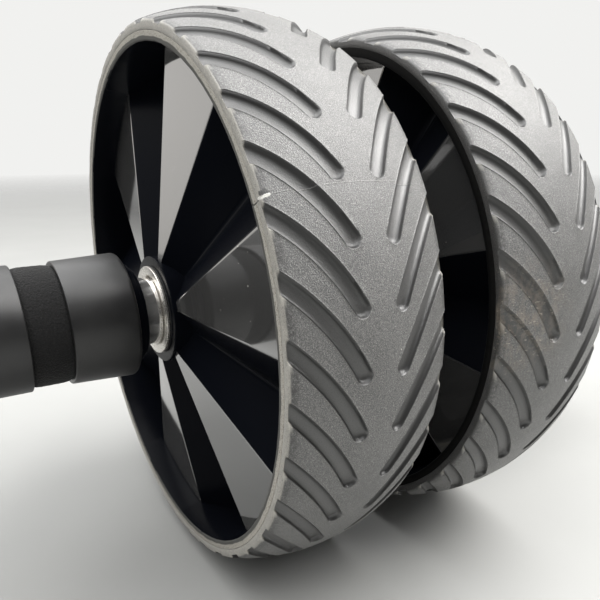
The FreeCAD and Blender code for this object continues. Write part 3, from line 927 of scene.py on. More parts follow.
@dataclass
class Tyre:
    """A rubber band with a barrel crown and two mirrored rows of curved grooves, open at the shoulders.

    wall_share to land_share, floor_shares, end_share, bump and bare_wall count in half widths of a groove.
    From shoulder_shares to strip_slack, the values count in the shoulder's size.
    """

    side: Side
    turn_deg: float
    finish: TreadRubber
    sharp_deg: float = 60.0
    half_width: float = 0.024
    crown: float = 0.090
    rise: float = 0.005
    bead: float = 0.08234
    bead_round: float = 0.00006
    bore: float = 0.0811
    channel: float = 0.0209
    shoulder: float = 0.0009
    shoulder_shares: tuple[tuple[float, float], ...] = (
        (0.16, 0.55), (-0.18, 0.22), (-0.60, 0.04), (-1.0, 0.0))
    flank_dip: float = 0.25
    side_reach: float = 0.3
    edge_reach: float = 0.7
    row_reach: float = 2.5
    strip: float = 1.7
    strip_slack: float = 0.1
    ragged: float = 0.00008
    ragged_pitch: float = 900.0
    ragged_shift: float = 0.01
    # Which side of a groove gets the painted highlight at the shoulder, in shares of its half width.
    bump: tuple[float, float] = (-1.2, -0.8)
    # Where across a groove the painted shade on its walls starts and where it is full, in shares of its half
    # width.
    bare_wall: tuple[float, float] = (0.3, 0.75)
    grooves: int = 35
    groove_depth: float = 0.0015
    groove_half: float = 0.0022
    groove_end: float = 0.006
    groove_reach: float = 0.0241
    groove_bow: float = 0.00115
    foot: float = 0.00008
    crease: float = 0.00018
    ridge: float = 0.00010
    least_half: float = 0.0009
    unrolled: float = 0.0875
    floor_flat: float = 3.0
    floor_round: float = 0.5
    wall_share: float = 0.93
    crease_share: float = 0.965
    ridge_share: float = 1.05
    land_share: float = 1.17
    floor_shares: tuple[float, ...] = (0.34, 0.52, 0.66, 0.77, 0.86)
    land_columns: int = 4
    middle_shares: tuple[float, ...] = (0.0, 0.45, 0.8)
    end_share: float = 1.1
    end_rows: int = 16
    far_rows: int = 11

    def __post_init__(self) -> None:
        """Works out the arc of a groove's middle line on the unrolled tread, and the columns' shares."""
        chord = Vector((self.groove_reach, self.half_width - self.groove_end))
        self.arc = chord.length_squared / (8 * self.groove_bow) + self.groove_bow / 2
        bulge = Vector((chord.y, -chord.x)).normalized()
        self.end = Vector((0.0, self.groove_end))
        self.centre = self.end + chord / 2 - bulge * (self.arc - self.groove_bow)
        self.ahead = Vector((self.centre.y - self.end.y, self.end.x - self.centre.x)).normalized()
        half = [*self.floor_shares, self.wall_share]
        half += [self.crease_share, (self.crease_share + self.ridge_share) / 2, self.ridge_share]
        half += [(self.ridge_share + self.land_share) / 2, self.land_share]
        self.columns = [-share for share in reversed(half)] + [0.0] + half

    def crown_radius(self, place: float) -> float:
        """Gives the barrel's radius at a place across the tyre."""
        arc = (self.half_width ** 2 + self.rise ** 2) / (2 * self.rise)
        return self.crown - arc + math.sqrt(arc ** 2 - place ** 2)

    def rows(self) -> list[float]:
        """Lists the places across half of the crown where the mesh has a row.

        Returns:
            The places from the middle outwards, closest together at a groove's round end.
        """
        start = self.groove_end - self.end_share * self.groove_half
        stop = self.groove_end + self.end_share * self.groove_half
        middle = [share * start for share in self.middle_shares]
        near = [start + (stop - start) * index / self.end_rows for index in range(self.end_rows + 1)]
        edge = self.half_width - self.row_reach * self.shoulder
        far = [stop + (edge - stop) * (index + 1) / self.far_rows for index in range(self.far_rows)]
        last = [self.half_width - self.strip * self.shoulder, self.half_width - self.shoulder]
        return middle + near + far + last

    def outline(self) -> list[tuple[float, float]]:
        """Lists the corners of the whole section.

        Returns:
            The (radius, place) corners, in order round the section.
        """
        half = [(self.crown_radius(place), place) for place in self.rows()]
        edge = self.crown_radius(self.half_width)
        half += [(edge + rise * self.shoulder, self.half_width - inset * self.shoulder)
                 for rise, inset in self.shoulder_shares]
        half += [
            ((edge + self.bead) / 2 - self.flank_dip * self.shoulder, self.half_width),
            (self.bead + self.bead_round, self.half_width),
            (self.bead, self.half_width - self.bead_round),
            (self.bead, self.channel),
            (self.bore, self.channel),
        ]
        mirrored = [(radius, -place) for radius, place in reversed(half[1:])]
        return mirrored + half

    def lips(self, place: float) -> tuple[float, float]:
        """Gives how far round a groove's two lips are at a place across the tyre.

        Args:
            place: The distance from the middle of the tyre.

        Returns:
            The two ways round, never closer than the round end needs for its columns.
        """
        ways = []
        for sign in (-1, 1):
            ring = self.arc + sign * self.groove_half
            way = self.centre.x + math.sqrt(ring ** 2 - (place - self.centre.y) ** 2)
            if (Vector((way, place)) - self.end).dot(self.ahead) < 0.0:
                chord = self.groove_half ** 2 - (place - self.end.y) ** 2
                way = self.end.x + sign * math.sqrt(max(chord, 0.0))
            ways.append(way)
        middle, half = sum(ways) / 2, max((ways[1] - ways[0]) / 2, self.least_half)
        return middle - half, middle + half

    def distance(self, point: Vector) -> float:
        """Gives how far a point is from a groove's middle line or its round end.

        Args:
            point: The way round and the place across, on the unrolled tread.

        Returns:
            The distance.
        """
        if (point - self.end).dot(self.ahead) < 0.0:
            return (point - self.end).length
        return abs((point - self.centre).length - self.arc)

    def depth(self, away: float) -> float:
        """Gives how deep the tread is cut at a distance from a groove's middle line.

        Args:
            away: The distance.

        Returns:
            The depth: a flat floor between round walls, a fine crease at its edge and a low ridge above it.
        """
        share = away / self.groove_half
        if share < self.wall_share:
            floor = (1 - (share / self.wall_share) ** self.floor_flat) ** self.floor_round
            return self.foot + (self.groove_depth - self.foot) * floor
        if share < self.crease_share:
            climb = (share - self.wall_share) / (self.crease_share - self.wall_share)
            return self.foot + (self.crease - self.foot) * climb
        if share < self.ridge_share:
            climb = (share - self.crease_share) / (self.ridge_share - self.crease_share)
            return self.crease - (self.crease + self.ridge) * climb
        fall = clamped((share - self.ridge_share) / (self.land_share - self.ridge_share))
        return -self.ridge * (1 - fall) ** 2

    def way_round(self, column: int, place: float) -> float:
        """Gives how far round a column of the mesh lies.

        Args:
            column: The column, counted from the start of its groove.
            place: The distance from the middle of the tyre.

        Returns:
            The way round on the unrolled tread, from the same groove.
        """
        first, last = self.lips(place)
        middle, reach = (first + last) / 2, (last - first) / 2
        if column < len(self.columns):
            return middle + self.columns[column] * reach
        pitch = FULL_TURN * self.unrolled / self.grooves
        land = pitch - 2 * reach * self.columns[-1]
        step = (column - len(self.columns) + 1) / (self.land_columns + 1)
        return middle + reach * self.columns[-1] + land * step

    def build(self) -> bmesh.types.BMesh:
        """Spins the section into a band, then cuts the grooves by moving its points.

        Returns:
            The mesh, with the marks groove, side, edge, strip and bare on its points; edge holds a painted
            highlight, and bare the painted shade of the groove walls.
        """
        outline = self.outline()
        mesh, row_mark, section = draw_section(outline)
        per_groove = len(self.columns) + self.land_columns
        spin_section(mesh, section, per_groove * self.grooves)
        self.cut_grooves(mesh, outline, row_mark, per_groove)
        bmesh.ops.recalc_face_normals(mesh, faces=mesh.faces)
        return mesh

    def cut_grooves(self, mesh: bmesh.types.BMesh, outline: Sequence[tuple[float, float]],
                    row_mark: bmesh.types.BMLayerItem, per_groove: int) -> None:
        """Slides each column along the grooves and sinks it to their depth.

        Args:
            mesh: The spun band.
            outline: The section that it was spun from.
            row_mark: The layer that holds each point's corner of that section.
            per_groove: How many columns there are from one groove to the next.
        """
        names = ("groove", "side", "edge", "strip", "bare")
        groove_mark, side_mark, edge_mark, strip_mark, wall_shade_mark = (
            mesh.verts.layers.float.new(name) for name in names)
        steps = per_groove * self.grooves
        edge = self.crown_radius(self.half_width)
        last_row = self.rows()[-1]
        strip_start = self.half_width - (self.strip + self.strip_slack) * self.shoulder
        wall_shade_start, wall_shade_end = self.bare_wall
        for point in mesh.verts:
            radius, place = outline[point[row_mark]]
            column = round(math.atan2(point.co.y, point.co.x) / FULL_TURN * steps) % steps
            groove, column = divmod(column, per_groove)
            along = min(abs(place), self.half_width)
            way = self.way_round(column, along)
            cut = self.depth(self.distance(Vector((way, along))))
            past_crown = abs(place) > last_row
            if past_crown:
                cut *= clamped((radius - edge) / self.shoulder + 1.0)
            shown = radius > self.bead
            on_side = shown and abs(place) > self.half_width - self.side_reach * self.shoulder
            on_edge = shown and past_crown and radius > edge - self.edge_reach * self.shoulder
            on_strip = shown and abs(place) > strip_start
            across = self.columns[column] if column < len(self.columns) else math.inf
            point[groove_mark] = clamped(cut / self.groove_depth) if shown else 0.0
            point[side_mark] = float(on_side)
            # Painted highlight: one corner of each groove's end at the shoulder is marked to be painted pale.
            point[edge_mark] = float(on_edge and self.bump[0] < across < self.bump[1])
            point[strip_mark] = float(on_strip and not on_side and cut < self.foot)
            # Painted shade: the groove walls are marked to be painted darker than the groove floor.
            point[wall_shade_mark] = clamped((abs(across) - wall_shade_start) / (wall_shade_end - wall_shade_start))
            turned = FULL_TURN * groove / self.grooves + way / self.unrolled
            radius -= cut
            if on_edge:
                spot = Vector((way, place, self.ragged_shift * groove))
                radius += self.ragged * noise.noise(spot * self.ragged_pitch)
            point.co = Vector((radius * math.cos(turned), radius * math.sin(turned), place))

    def add(self) -> None:
        """Builds the tyre and puts it on its wheel."""
        name = f"{self.side.word}_tyre"
        low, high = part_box(name)
        body = f"{self.side.word}_wheel"
        piece = Piece(f"{name}_rubber", body, Slot.TREAD, self.finish, (name,), self.sharp_deg)
        piece.publish(self.build(), AxlePlace(Side.LEFT.value, (low.y + high.y) / 2, self.turn_deg))


def rounded_lower(first: float, second: float, reach: float) -> float:
    """Gives the lower of two heights, rounded off where they are close.

    Args:
        first: One height.
        second: The other height.
        reach: How close they are where the rounding starts.

    Returns:
        The lower height, or a little less.
    """
    near = max(reach - abs(first - second), 0.0)
    return min(first, second) - near ** 2 / (4 * reach)


@dataclass
class RimHalf:
    """Half of a moulded wheel: a lipped band, a hub, and a web of flat facets between sunk V pockets."""

    side: Side
    half: Half
    turn_deg: float
    finish: GlossPlastic
    face: float = 0.024
    root: float = 0.0782
    mouth: float = 0.0796
    mouth_end: float = 0.0165
    lip: float = 0.0823
    lip_width: float = 0.003
    lip_round: float = 0.0001
    mouth_round: float = 0.0005
    round_segments: int = 3
    seat: float = 0.0810
    hub: float = 0.0176
    hub_end: float = 0.026
    hub_round: float = 0.0003
    bush_seat: float = 0.0145
    bush_step: float = 0.0014
    bore: float = 0.0134
    facet_apex: float = 0.0247
    facet_base: float = 0.0153
    facet_tip: float = 0.0015
    valley: float = 0.0022
    back: float = 0.00005
    facets: int = 6
    web_rows: int = 5
    flat_columns: int = 2
    crest_hub: float = 0.0003
    crest_root: float = 0.0009
    crest_shares: tuple[float, ...] = (-1.0, -0.66, -0.33, 0.0, 0.33, 0.66, 1.0)
    valley_hub: float = 0.0006
    valley_root: float = 0.0022
    valley_shares: tuple[float, ...] = (1.0, 0.5, 0.0)

    def __post_init__(self) -> None:
        """Works out the lines of a facet's edge and of a valley, and the plane of the wall between them."""
        self.pitch = FULL_TURN / self.facets
        self.slope = (self.facet_apex - self.facet_base) / (self.root - self.hub)
        self.middle = Vector((math.cos(self.pitch / 2), math.sin(self.pitch / 2)))
        self.aside = Vector((self.middle.y, -self.middle.x))
        self.tip = self.on_facet(self.hub, math.asin(self.facet_tip / self.hub))
        self.corner = self.on_facet(self.root, self.pitch / 4)
        low = (self.middle * self.root).to_3d()
        low.z = self.valley
        wall = (self.corner - self.tip).cross(low - self.tip)
        self.wall_slope = Vector((-wall.x, -wall.y)) / wall.z
        edge = (self.corner - self.tip).to_2d().normalized()
        self.across = Vector((-edge.y, edge.x))
        self.crest_bend = (self.wall_slope - Vector((-self.slope, 0.0))).length
        self.valley_bend = 2 * abs(self.wall_slope.dot(self.aside))
        self.half_columns = self.flat_columns * 2 + len(self.crest_shares) + len(self.valley_shares)
        self.columns = 2 * self.half_columns * self.facets

    def on_facet(self, radius: float, angle: float) -> Vector:
        """Gives the point of a facet at a radius and an angle from its middle."""
        along = radius * math.cos(angle)
        return Vector((along, radius * math.sin(angle), self.facet_height(along)))

    def facet_height(self, along: float) -> float:
        """Gives the height of a facet at a distance along its middle line."""
        return self.facet_apex - self.slope * (along - self.hub)

    def wall_height(self, spot: Vector) -> float:
        """Gives the height of a pocket's wall at a spot of the plan."""
        return self.tip.z + self.wall_slope.dot(spot - self.tip.to_2d())

    def reach(self, near: float, far: float, share: float) -> float:
        """Gives a size that changes evenly from the hub, at share 0, to the root, at share 1."""
        return near + (far - near) * share

    def web_height(self, spot: Vector, share: float) -> float:
        """Gives the height of the web.

        Args:
            spot: The place in the plan, from the middle of a facet to the middle of a pocket.
            share: How far out it is, from the hub to the root.

        Returns:
            The facet's or the wall's height there, with the crest and the valley rounded.
        """
        mirrored = 2 * spot.dot(self.middle) * self.middle - spot
        valley = self.valley_bend * self.reach(self.valley_hub, self.valley_root, share)
        wall = -rounded_lower(-self.wall_height(spot), -self.wall_height(mirrored), valley)
        crest = self.crest_bend * self.reach(self.crest_hub, self.crest_root, share)
        return rounded_lower(self.facet_height(spot.x), wall, crest)

    def stations(self, share: float) -> list[Vector]:
        """Lists where half a facet's columns cross a row of the web, in the plan.

        Args:
            share: How far out the row is, from the hub to the root.

        Returns:
            The spots, from the facet's middle over its crest to the middle of the pocket.
        """
        radius = self.reach(self.hub, self.root, share)
        width = self.reach(self.crest_hub, self.crest_root, share)
        line = self.tip.to_2d().lerp(self.corner.to_2d(), share)
        crest = [line + self.across * width * place for place in self.crest_shares]
        width = self.reach(self.valley_hub, self.valley_root, share)
        low = [self.middle * radius + self.aside * width * place for place in self.valley_shares]
        parts = [step / (self.flat_columns + 1) for step in range(self.flat_columns + 1)]
        facet = [Vector((radius, 0.0)).lerp(crest[0], part) for part in parts]
        wall = [crest[-1].lerp(low[0], part) for part in parts[1:]]
        spots = facet + crest + wall + low
        if share in (0.0, 1.0):
            spots = [spot.normalized() * radius for spot in spots]
        return spots

    def build(self) -> bmesh.types.BMesh:
        """Spins the section, pleats its web and rounds its rings.

        Returns:
            The closed mesh, with the marks lip and gloss on its faces.
        """
        lip_back = self.face - self.lip_width
        outside = [
            (self.seat, self.back), (self.seat, lip_back), (self.lip, lip_back), (self.lip, self.face),
            (self.mouth, self.face), (self.root, self.mouth_end),
        ]
        web = [(self.reach(self.root, self.hub, row / self.web_rows), self.facet_base)
               for row in range(self.web_rows + 1)]
        step = self.hub_end - self.bush_step
        inside = [
            (self.hub, self.hub_end), (self.bush_seat, self.hub_end), (self.bush_seat, step),
            (self.bore, step), (self.bore, self.back),
        ]
        mesh, row_mark, section = draw_section(outside + web + inside)
        spin_section(mesh, section, self.columns)
        root_row = len(outside)
        self.mark_faces(mesh, row_mark, root_row)
        self.pleat(mesh, row_mark, root_row)
        bmesh.ops.recalc_face_normals(mesh, faces=mesh.faces)
        hub_end_row = root_row + len(web)
        rounds = {root_row - 3: self.lip_round, root_row - 2: self.mouth_round, hub_end_row: self.hub_round}
        for row, size in rounds.items():
            round_row(mesh, row_mark, row, size, self.round_segments)
        return mesh

    def column(self, spot: Vector) -> int:
        """Gives the column of a point of the spun section."""
        return round(math.atan2(spot.y, spot.x) / FULL_TURN * self.columns) % self.columns

    def from_middle(self, column: int) -> int:
        """Gives how many columns a column is away from the middle of its facet."""
        near = column % (2 * self.half_columns)
        return min(near, 2 * self.half_columns - near)

    def mark_faces(self, mesh: bmesh.types.BMesh, row_mark: bmesh.types.BMLayerItem, root_row: int) -> None:
        """Marks the lip's faces, and the polished faces of the facets with their crests.

        Args:
            mesh: The spun section.
            row_mark: The layer that holds each point's row.
            root_row: The first row of the web.
        """
        lip = mesh.faces.layers.float.new("lip")
        gloss = mesh.faces.layers.float.new("gloss")
        last = self.flat_columns + (len(self.crest_shares) + 1) // 2
        for face in mesh.faces:
            rows = [point[row_mark] for point in face.verts]
            face[lip] = float(root_row - 4 <= min(rows) and max(rows) < root_row - 1)
            on_web = root_row <= min(rows) and max(rows) <= root_row + self.web_rows
            polished = all(self.from_middle(self.column(point.co)) <= last for point in face.verts)
            face[gloss] = float(on_web and polished)

    def pleat(self, mesh: bmesh.types.BMesh, row_mark: bmesh.types.BMLayerItem, root_row: int) -> None:
        """Moves every column along the web's creases, and the web's points to their height.

        Args:
            mesh: The spun section.
            row_mark: The layer that holds each point's row.
            root_row: The first row of the web.
        """
        rows = [self.stations(1 - row / self.web_rows) for row in range(self.web_rows + 1)]
        for point in mesh.verts:
            row = min(max(point[row_mark] - root_row, 0), self.web_rows)
            column = self.column(point.co)
            spot = rows[row][self.from_middle(column)]
            height = point.co.z
            if row == point[row_mark] - root_row:
                height = self.web_height(spot, 1 - row / self.web_rows)
            else:
                spot = spot.normalized() * point.co.to_2d().length
            if column % (2 * self.half_columns) > self.half_columns:
                spot = Vector((spot.x, -spot.y))
            facet = (column + self.half_columns - 1) // (2 * self.half_columns)
            spot = Matrix.Rotation(self.pitch * facet, 2) @ spot
            point.co = Vector((spot.x, spot.y, height))

    def add(self) -> None:
        """Builds the half and puts it on its wheel."""
        name = f"{self.side.word}_{self.half.word}_rim"
        facing = self.side.value * self.half.value
        low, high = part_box(f"{self.side.word}_tyre")
        body = f"{self.side.word}_wheel"
        piece = Piece(f"{name}_shell", body, Slot.RIM, self.finish, (name,), weighted=True)
        piece.publish(self.build(), AxlePlace(facing, (low.y + high.y) / 2, self.turn_deg))


@dataclass
class Wheel:
    """A tyre on two rim halves, with a bush in each end of the hub."""

    side: Side
    tread_turn_deg: float
    web_turn_deg: float
    rubber: TreadRubber
    plastic: GlossPlastic

    def add(self) -> None:
        """Builds the wheel's pieces and gives its bushes their finish."""
        Tyre(self.side, self.tread_turn_deg, self.rubber).add()
        for half in Half:
            RimHalf(self.side, half, self.web_turn_deg, self.plastic).add()
            bush = frame["nodes"][f"{self.side.word}_{half.word}_bush"]
            bush.data.materials.clear()
            bush.data.materials.append(NYLON.material())


# Axle


@dataclass
class Axle:
    """The chrome tube and what keeps the wheels in place on it."""

    wall: float = 0.0015
    clip_depth: float = 0.0006
    clip_width: float = 0.0008
    clip_opening_deg: float = 24.0
    clip_turn_deg: float = 90.0
    clip_round: float = 0.0003
    washer_round: float = 0.0003
    spacer_round: float = 0.0006
    clearance: float = 0.00005

    def add(self) -> None:
        """Builds the tube, the spacer, the washers and the retaining rings."""
        self.add_tube()
        self.add_spacer()
        for side in Side:
            for half in Half:
                self.add_washer(side, half)
            self.add_clip(side)

    def add_tube(self) -> None:
        """Builds the tube, with its two grooves."""
        _, end, radius = span("axle_tube")
        clip = span(f"{Side.LEFT.word}_retaining_ring")[0]
        groove = radius - self.clip_depth
        half = [
            Corner(radius, clip), Corner(groove, clip), Corner(groove, clip + self.clip_width),
            Corner(radius, clip + self.clip_width), Corner(radius, end), Corner(radius - self.wall, end),
        ]
        mirrored = [Corner(corner.radius, -corner.place) for corner in reversed(half)]
        piece = Piece("axle_chrome_tube", ROOT_BODY, Slot.AXLE, CHROME, ("axle_tube",))
        piece.publish(turn(mirrored + half), AxlePlace(Side.RIGHT.value, 0.0))

    def add_spacer(self) -> None:
        """Builds the sleeve between the wheels."""
        _, end, radius = span("centre_spacer")
        bore = span("axle_tube")[2] + self.clearance
        outline = [
            Corner(bore, -end), Corner(radius, -end, self.spacer_round),
            Corner(radius, end, self.spacer_round), Corner(bore, end),
        ]
        piece = Piece("centre_spacer_sleeve", ROOT_BODY, Slot.BUSH, NYLON, ("centre_spacer",))
        piece.publish(turn(outline), AxlePlace(Side.RIGHT.value, 0.0))

    def add_washer(self, side: Side, half: Half) -> None:
        """Builds one plated washer, rounded at its rim.

        Args:
            side: The wheel that it stands beside.
            half: Whether it is outside or inside that wheel.
        """
        name = f"{side.word}_{half.word}_washer"
        near, far, radius = span(name)
        bore = span("axle_tube")[2] + self.clearance
        outline = [
            Corner(bore, near), Corner(radius, near, self.washer_round),
            Corner(radius, far, self.washer_round), Corner(bore, far, self.washer_round),
        ]
        piece = Piece(f"{name}_plated", ROOT_BODY, Slot.WASHER, WASHER_STEEL, (name,))
        piece.publish(turn(outline), AxlePlace(side.value, 0.0))

    def add_clip(self, side: Side) -> None:
        """Builds one split ring, which sits in the tube's groove.

        Args:
            side: The wheel that it keeps on the tube.
        """
        name = f"{side.word}_retaining_ring"
        near, far, radius = span(name)
        inside = span("axle_tube")[2] - self.clip_depth + self.clearance
        outline = [
            Corner(inside, near), Corner(radius, near, self.clip_round), Corner(radius, far, self.clip_round),
            Corner(inside, far),
        ]
        piece = Piece(f"{name}_wire", ROOT_BODY, Slot.WASHER, WASHER_STEEL, (name,))
        mesh = turn(outline, opening_deg=self.clip_opening_deg)
        piece.publish(mesh, AxlePlace(side.value, 0.0, self.clip_turn_deg))


# Handles


@dataclass
class Handle:
    """A core sleeve with a neck, which carries a collar, foam bands, harder rings and an end cap."""

    side: Side
    core_bore: float = 0.01105
    ring_bore: float = 0.01355
    core_radius: float = 0.0135
    neck_length: float = 0.0039
    neck_step: float = 0.0016
    neck_round: float = 0.0003
    collar_flare: float = 0.0008
    collar_round: float = 0.0012
    ring_round: float = 0.0004
    cap_round: float = 0.0040
    cap_wall: float = 0.004
    cap_length: float = 0.0195
    plug_radius: float = 0.00945
    plug_length: float = 0.014
    plug_round: float = 0.001
    foam_rows: int = 18
    foam_steps: int = 192
    foam_dip: float = 0.0007
    foam_dip_power: int = 6
    foam_rough: float = 0.00010
    foam_rough_pitch: float = 1400.0
    foam_rough_drop: float = 0.6

    def node(self, part: str) -> str:
        """Gives the name of one of the handle's nodes."""
        return f"{self.side.word}_{part}"

    def place(self) -> AxlePlace:
        """Gives the place of every piece: measured outwards from the middle of the axle."""
        return AxlePlace(self.side.value, 0.0)

    def add(self) -> None:
        """Builds the core and the stack on it."""
        self.add_core()
        self.add_ring("collar", self.collar_round, self.collar_flare)
        for ring in ("inner_grip_ring", "outer_grip_ring"):
            self.add_ring(ring, self.ring_round)
        for band in ("inner_foam_band", "middle_foam_band", "outer_foam_band"):
            self.add_foam(band)
        self.add_cap()

    def add_core(self) -> None:
        """Builds the sleeve, whose neck shows between the collar and the wheel."""
        near, far, radius = span(self.node("handle_core"))
        step = near + self.neck_length
        tip, tip_end = radius - self.neck_step, near + self.neck_step
        outline = [
            Corner(self.core_bore, near), Corner(tip, near, self.neck_round), Corner(tip, tip_end),
            Corner(radius, tip_end, self.neck_round), Corner(radius, step), Corner(self.core_radius, step),
            Corner(self.core_radius, far), Corner(self.core_bore, far),
        ]
        node = self.node("handle_core")
        piece = Piece(f"{node}_sleeve", ROOT_BODY, Slot.CORE, CORE_SATIN, (node,))
        piece.publish(turn(outline), self.place())

    def add_ring(self, part: str, near_round: float, flare: float = 0.0) -> None:
        """Builds the collar or one of the harder rings.

        Args:
            part: The node's name without its side.
            near_round: The rounding of the edge towards the wheel.
            flare: How much wider it is at that edge.
        """
        near, far, radius = span(self.node(part))
        outline = [
            Corner(self.ring_bore, near), Corner(radius, near, near_round),
            Corner(radius - flare, far, self.ring_round), Corner(self.ring_bore, far),
        ]
        piece = Piece(self.node(f"{part}_satin"), ROOT_BODY, Slot.GRIP, GRIP_SATIN, (self.node(part),))
        piece.publish(turn(outline), self.place())

    def add_foam(self, part: str) -> None:
        """Builds one foam band: crowned between the rings that hold it, with an uneven skin.

        Args:
            part: The node's name without its side.
        """
        near, far, radius = span(self.node(part))
        outline = [Corner(self.ring_bore, near)]
        for row in range(self.foam_rows + 1):
            share = row / self.foam_rows
            dip = self.foam_dip * abs(2 * share - 1) ** self.foam_dip_power
            outline.append(Corner(radius - dip, near + (far - near) * share))
        outline.append(Corner(self.ring_bore, far))
        mesh = turn(outline, steps=self.foam_steps)
        for point in mesh.verts:
            flat = Vector((point.co.x, point.co.y, 0.0))
            if flat.length > self.ring_bore + self.foam_rough:
                skin = noise.noise(point.co * self.foam_rough_pitch) - self.foam_rough_drop
                point.co += flat.normalized() * self.foam_rough * skin
        piece = Piece(self.node(f"{part}_soft"), ROOT_BODY, Slot.FOAM, FOAM, (self.node(part),))
        piece.publish(mesh, self.place())

    def add_cap(self) -> None:
        """Builds the end cap with its plug."""
        _, far, radius = span(self.node("end_cap"))
        near = far - self.cap_length
        inside = far - self.cap_wall
        plug_end = inside - self.plug_length
        outline = [
            Corner(0.0, plug_end), Corner(self.plug_radius, plug_end, self.plug_round),
            Corner(self.plug_radius, inside), Corner(self.ring_bore, inside), Corner(self.ring_bore, near),
            Corner(radius, near, self.ring_round), Corner(radius, far, self.cap_round), Corner(0.0, far),
        ]
        node = self.node("end_cap")
        piece = Piece(f"{node}_satin", ROOT_BODY, Slot.GRIP, GRIP_SATIN, (node,))
        piece.publish(turn(outline), self.place())


# Stage


@dataclass(frozen=True)
class PhotoCamera:
    """The camera at the photograph's place: azimuth 0 looks along +Y, and elevation is above the horizon."""

    place: Triple = (0.1987, -0.1247, 0.1443)
    azimuth_deg: float = 56.8
    elevation_deg: float = 20.9
    lens: float = 37.22
    sensor: float = 36.0
    shift_x: float = -0.0364
    shift_y: float = 0.1206
    clip_start: float = 0.005

    def add(self) -> None:
        """Makes the camera and gives it to the scene."""
        data = bpy.data.cameras.new("photo_camera")
        data.sensor_width = self.sensor
        data.lens = self.lens
        data.shift_x = self.shift_x
        data.shift_y = self.shift_y
        data.clip_start = self.clip_start
        camera = bpy.data.objects.new("photo_camera", data)
        turn_z = math.radians(self.azimuth_deg)
        lift = math.radians(self.elevation_deg)
        back = Vector((math.sin(turn_z) * math.cos(lift), -math.cos(turn_z) * math.cos(lift), math.sin(lift)))
        camera.location = self.place
        camera.rotation_mode = "QUATERNION"
        camera.rotation_quaternion = (-back).to_track_quat("-Z", "Y")
        bpy.context.scene.collection.objects.link(camera)
        bpy.context.scene.camera = camera


@dataclass(frozen=True)
class SoftBox:
    """A large soft lamp that points at a place."""

    name: str
    place: Triple
    width: float
    height: float
    power: float
    aim: Triple = (0.0, 0.0, 0.09)
    tone: Colour = (1.0, 1.0, 1.0)

    def add(self) -> None:
        """Makes the lamp."""
        data = bpy.data.lights.new(self.name, "AREA")
        data.shape = "RECTANGLE"
        data.size = self.width
        data.size_y = self.height
        data.energy = self.power
        data.color = self.tone
        lamp = bpy.data.objects.new(self.name, data)
        lamp.location = self.place
        lamp.rotation_mode = "QUATERNION"
        lamp.rotation_quaternion = (Vector(self.aim) - Vector(self.place)).to_track_quat("-Z", "Y")
        bpy.context.scene.collection.objects.link(lamp)


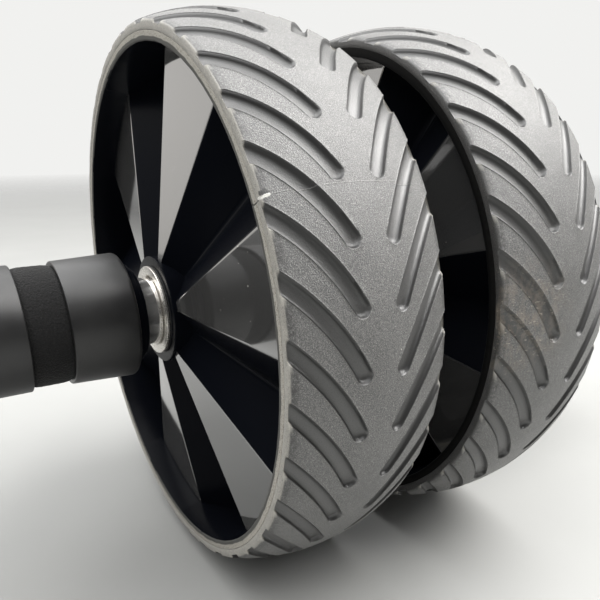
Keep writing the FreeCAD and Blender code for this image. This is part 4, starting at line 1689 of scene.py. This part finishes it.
@dataclass(frozen=True)
class Studio:
    """A plain pale floor that fades into a pale surround, under soft lamps.

    mirrored is how bright the surround is in mirrored rays, as (height of the ray, brightness), from low to
    high.
    """

    lamps: tuple[SoftBox, ...] = (
        SoftBox("key_lamp", (0.28, 0.64, 1.12), 1.2, 1.0, 36.0, tone=(1.0, 0.985, 0.968)),
        SoftBox("overhead_lamp", (-0.45, -0.28, 1.3), 1.5, 1.5, 20.0),
        SoftBox("front_lamp", (0.25, -0.75, 1.2), 1.5, 1.5, 14.0, aim=(0.1, -0.3, 0.0)),
        SoftBox("window_lamp", (-1.15, -0.75, 0.62), 1.0, 1.3, 2.6, tone=(1.0, 0.95, 0.89)),
    )
    surround: Colour = (0.88, 0.88, 0.865)
    ambient: float = 0.28
    mirrored: tuple[tuple[float, float], ...] = ((-0.12, 0.24), (0.0, 0.48), (0.6, 1.1))
    dim_side: Triple = (0.87, -0.48, 0.0)
    dim_start: float = 0.1
    dim_end: float = 0.5
    dim: float = 0.12
    floor_radius: float = 4.0
    floor_sides: int = 64
    floor_tone: Colour = (0.36, 0.363, 0.354)
    floor_fade: float = 0.96
    floor_cloud: Cloud = Cloud(0.09, 4.0)
    floor_band: Band = (0.35, 0.65)
    floor_rough: float = 0.55
    fade_start: float = 0.7
    fade_end: float = 2.6
    near_edge: float = -0.28
    near_end: float = -0.35

    def add(self) -> None:
        """Builds the floor, the surround and the lamps."""
        self.add_floor()
        self.add_surround()
        for lamp in self.lamps:
            lamp.add()
        bpy.context.scene.view_settings.view_transform = "Standard"

    def add_floor(self) -> None:
        """Builds the floor disc, clear towards its rim, and in mirrored rays past the near edge as well."""
        mesh = bmesh.new()
        bmesh.ops.create_circle(mesh, cap_ends=True, segments=self.floor_sides, radius=self.floor_radius)
        data = bpy.data.meshes.new("floor")
        mesh.to_mesh(data)
        mesh.free()
        board = Board("floor_pale")
        cloud = board.spread(board.noise(self.floor_cloud), *self.floor_band)
        tone = board.mix(cloud, self.floor_tone, dimmed(self.floor_tone, self.floor_fade))
        far = board.spread(board.distance_from(ORIGIN), self.fade_start, self.fade_end)
        near = board.spread(board.plane_distance(ORIGIN, ALONG_AXLE), self.near_edge, self.near_end)
        near = board.sum("MULTIPLY", near, board.ray("Is Glossy Ray"))
        shown = board.spread(board.sum("MAXIMUM", far, near), 0.0, 1.0, 1.0, 0.0)
        board.set(Base_Color=tone, Roughness=self.floor_rough, Alpha=shown)
        data.materials.append(board.material)
        floor = bpy.data.objects.new("floor", data)
        bpy.context.scene.collection.objects.link(floor)

    def add_surround(self) -> None:
        """Builds the surround: pale where it is seen, and softer as light.

        Where it is mirrored, it is brighter towards the top, and dim below the horizon and towards one side.
        """
        sky = Sky("surround")
        height = sky.plane_distance(ORIGIN, UP)
        (low, low_bright), (horizon, horizon_bright), (high, high_bright) = self.mirrored
        lower = sky.spread(height, low, horizon, low_bright, horizon_bright)
        upper = sky.spread(height, horizon, high, 0.0, high_bright - horizon_bright)
        toward = sky.plane_distance(ORIGIN, self.dim_side)
        shade = sky.spread(toward, self.dim_start, self.dim_end, 1.0, self.dim)
        mirrored = sky.sum("MULTIPLY", sky.sum("ADD", lower, upper), shade)
        lit = sky.spread(sky.ray("Is Glossy Ray"), 0.0, 1.0, self.ambient, mirrored)
        sky.set(self.surround, sky.spread(sky.ray("Is Camera Ray"), 0.0, 1.0, lit, 1.0))


def main() -> None:
    """Builds the roller's sub-assemblies in order, then the stage round it."""
    logging.basicConfig(level=logging.INFO, format="%(name)s: %(message)s")
    Wheel(Side.LEFT, tread_turn_deg=10.9, web_turn_deg=15.0, rubber=TREAD_NICKED, plastic=RIM_RUBBED).add()
    Wheel(Side.RIGHT, tread_turn_deg=9.65, web_turn_deg=32.4, rubber=TREAD_SCUFFED, plastic=RIM_SHADED_LIP).add()
    Axle().add()
    for side in Side:
        Handle(side).add()
    PhotoCamera().add()
    Studio().add()


if __name__ == "__main__":
    main()
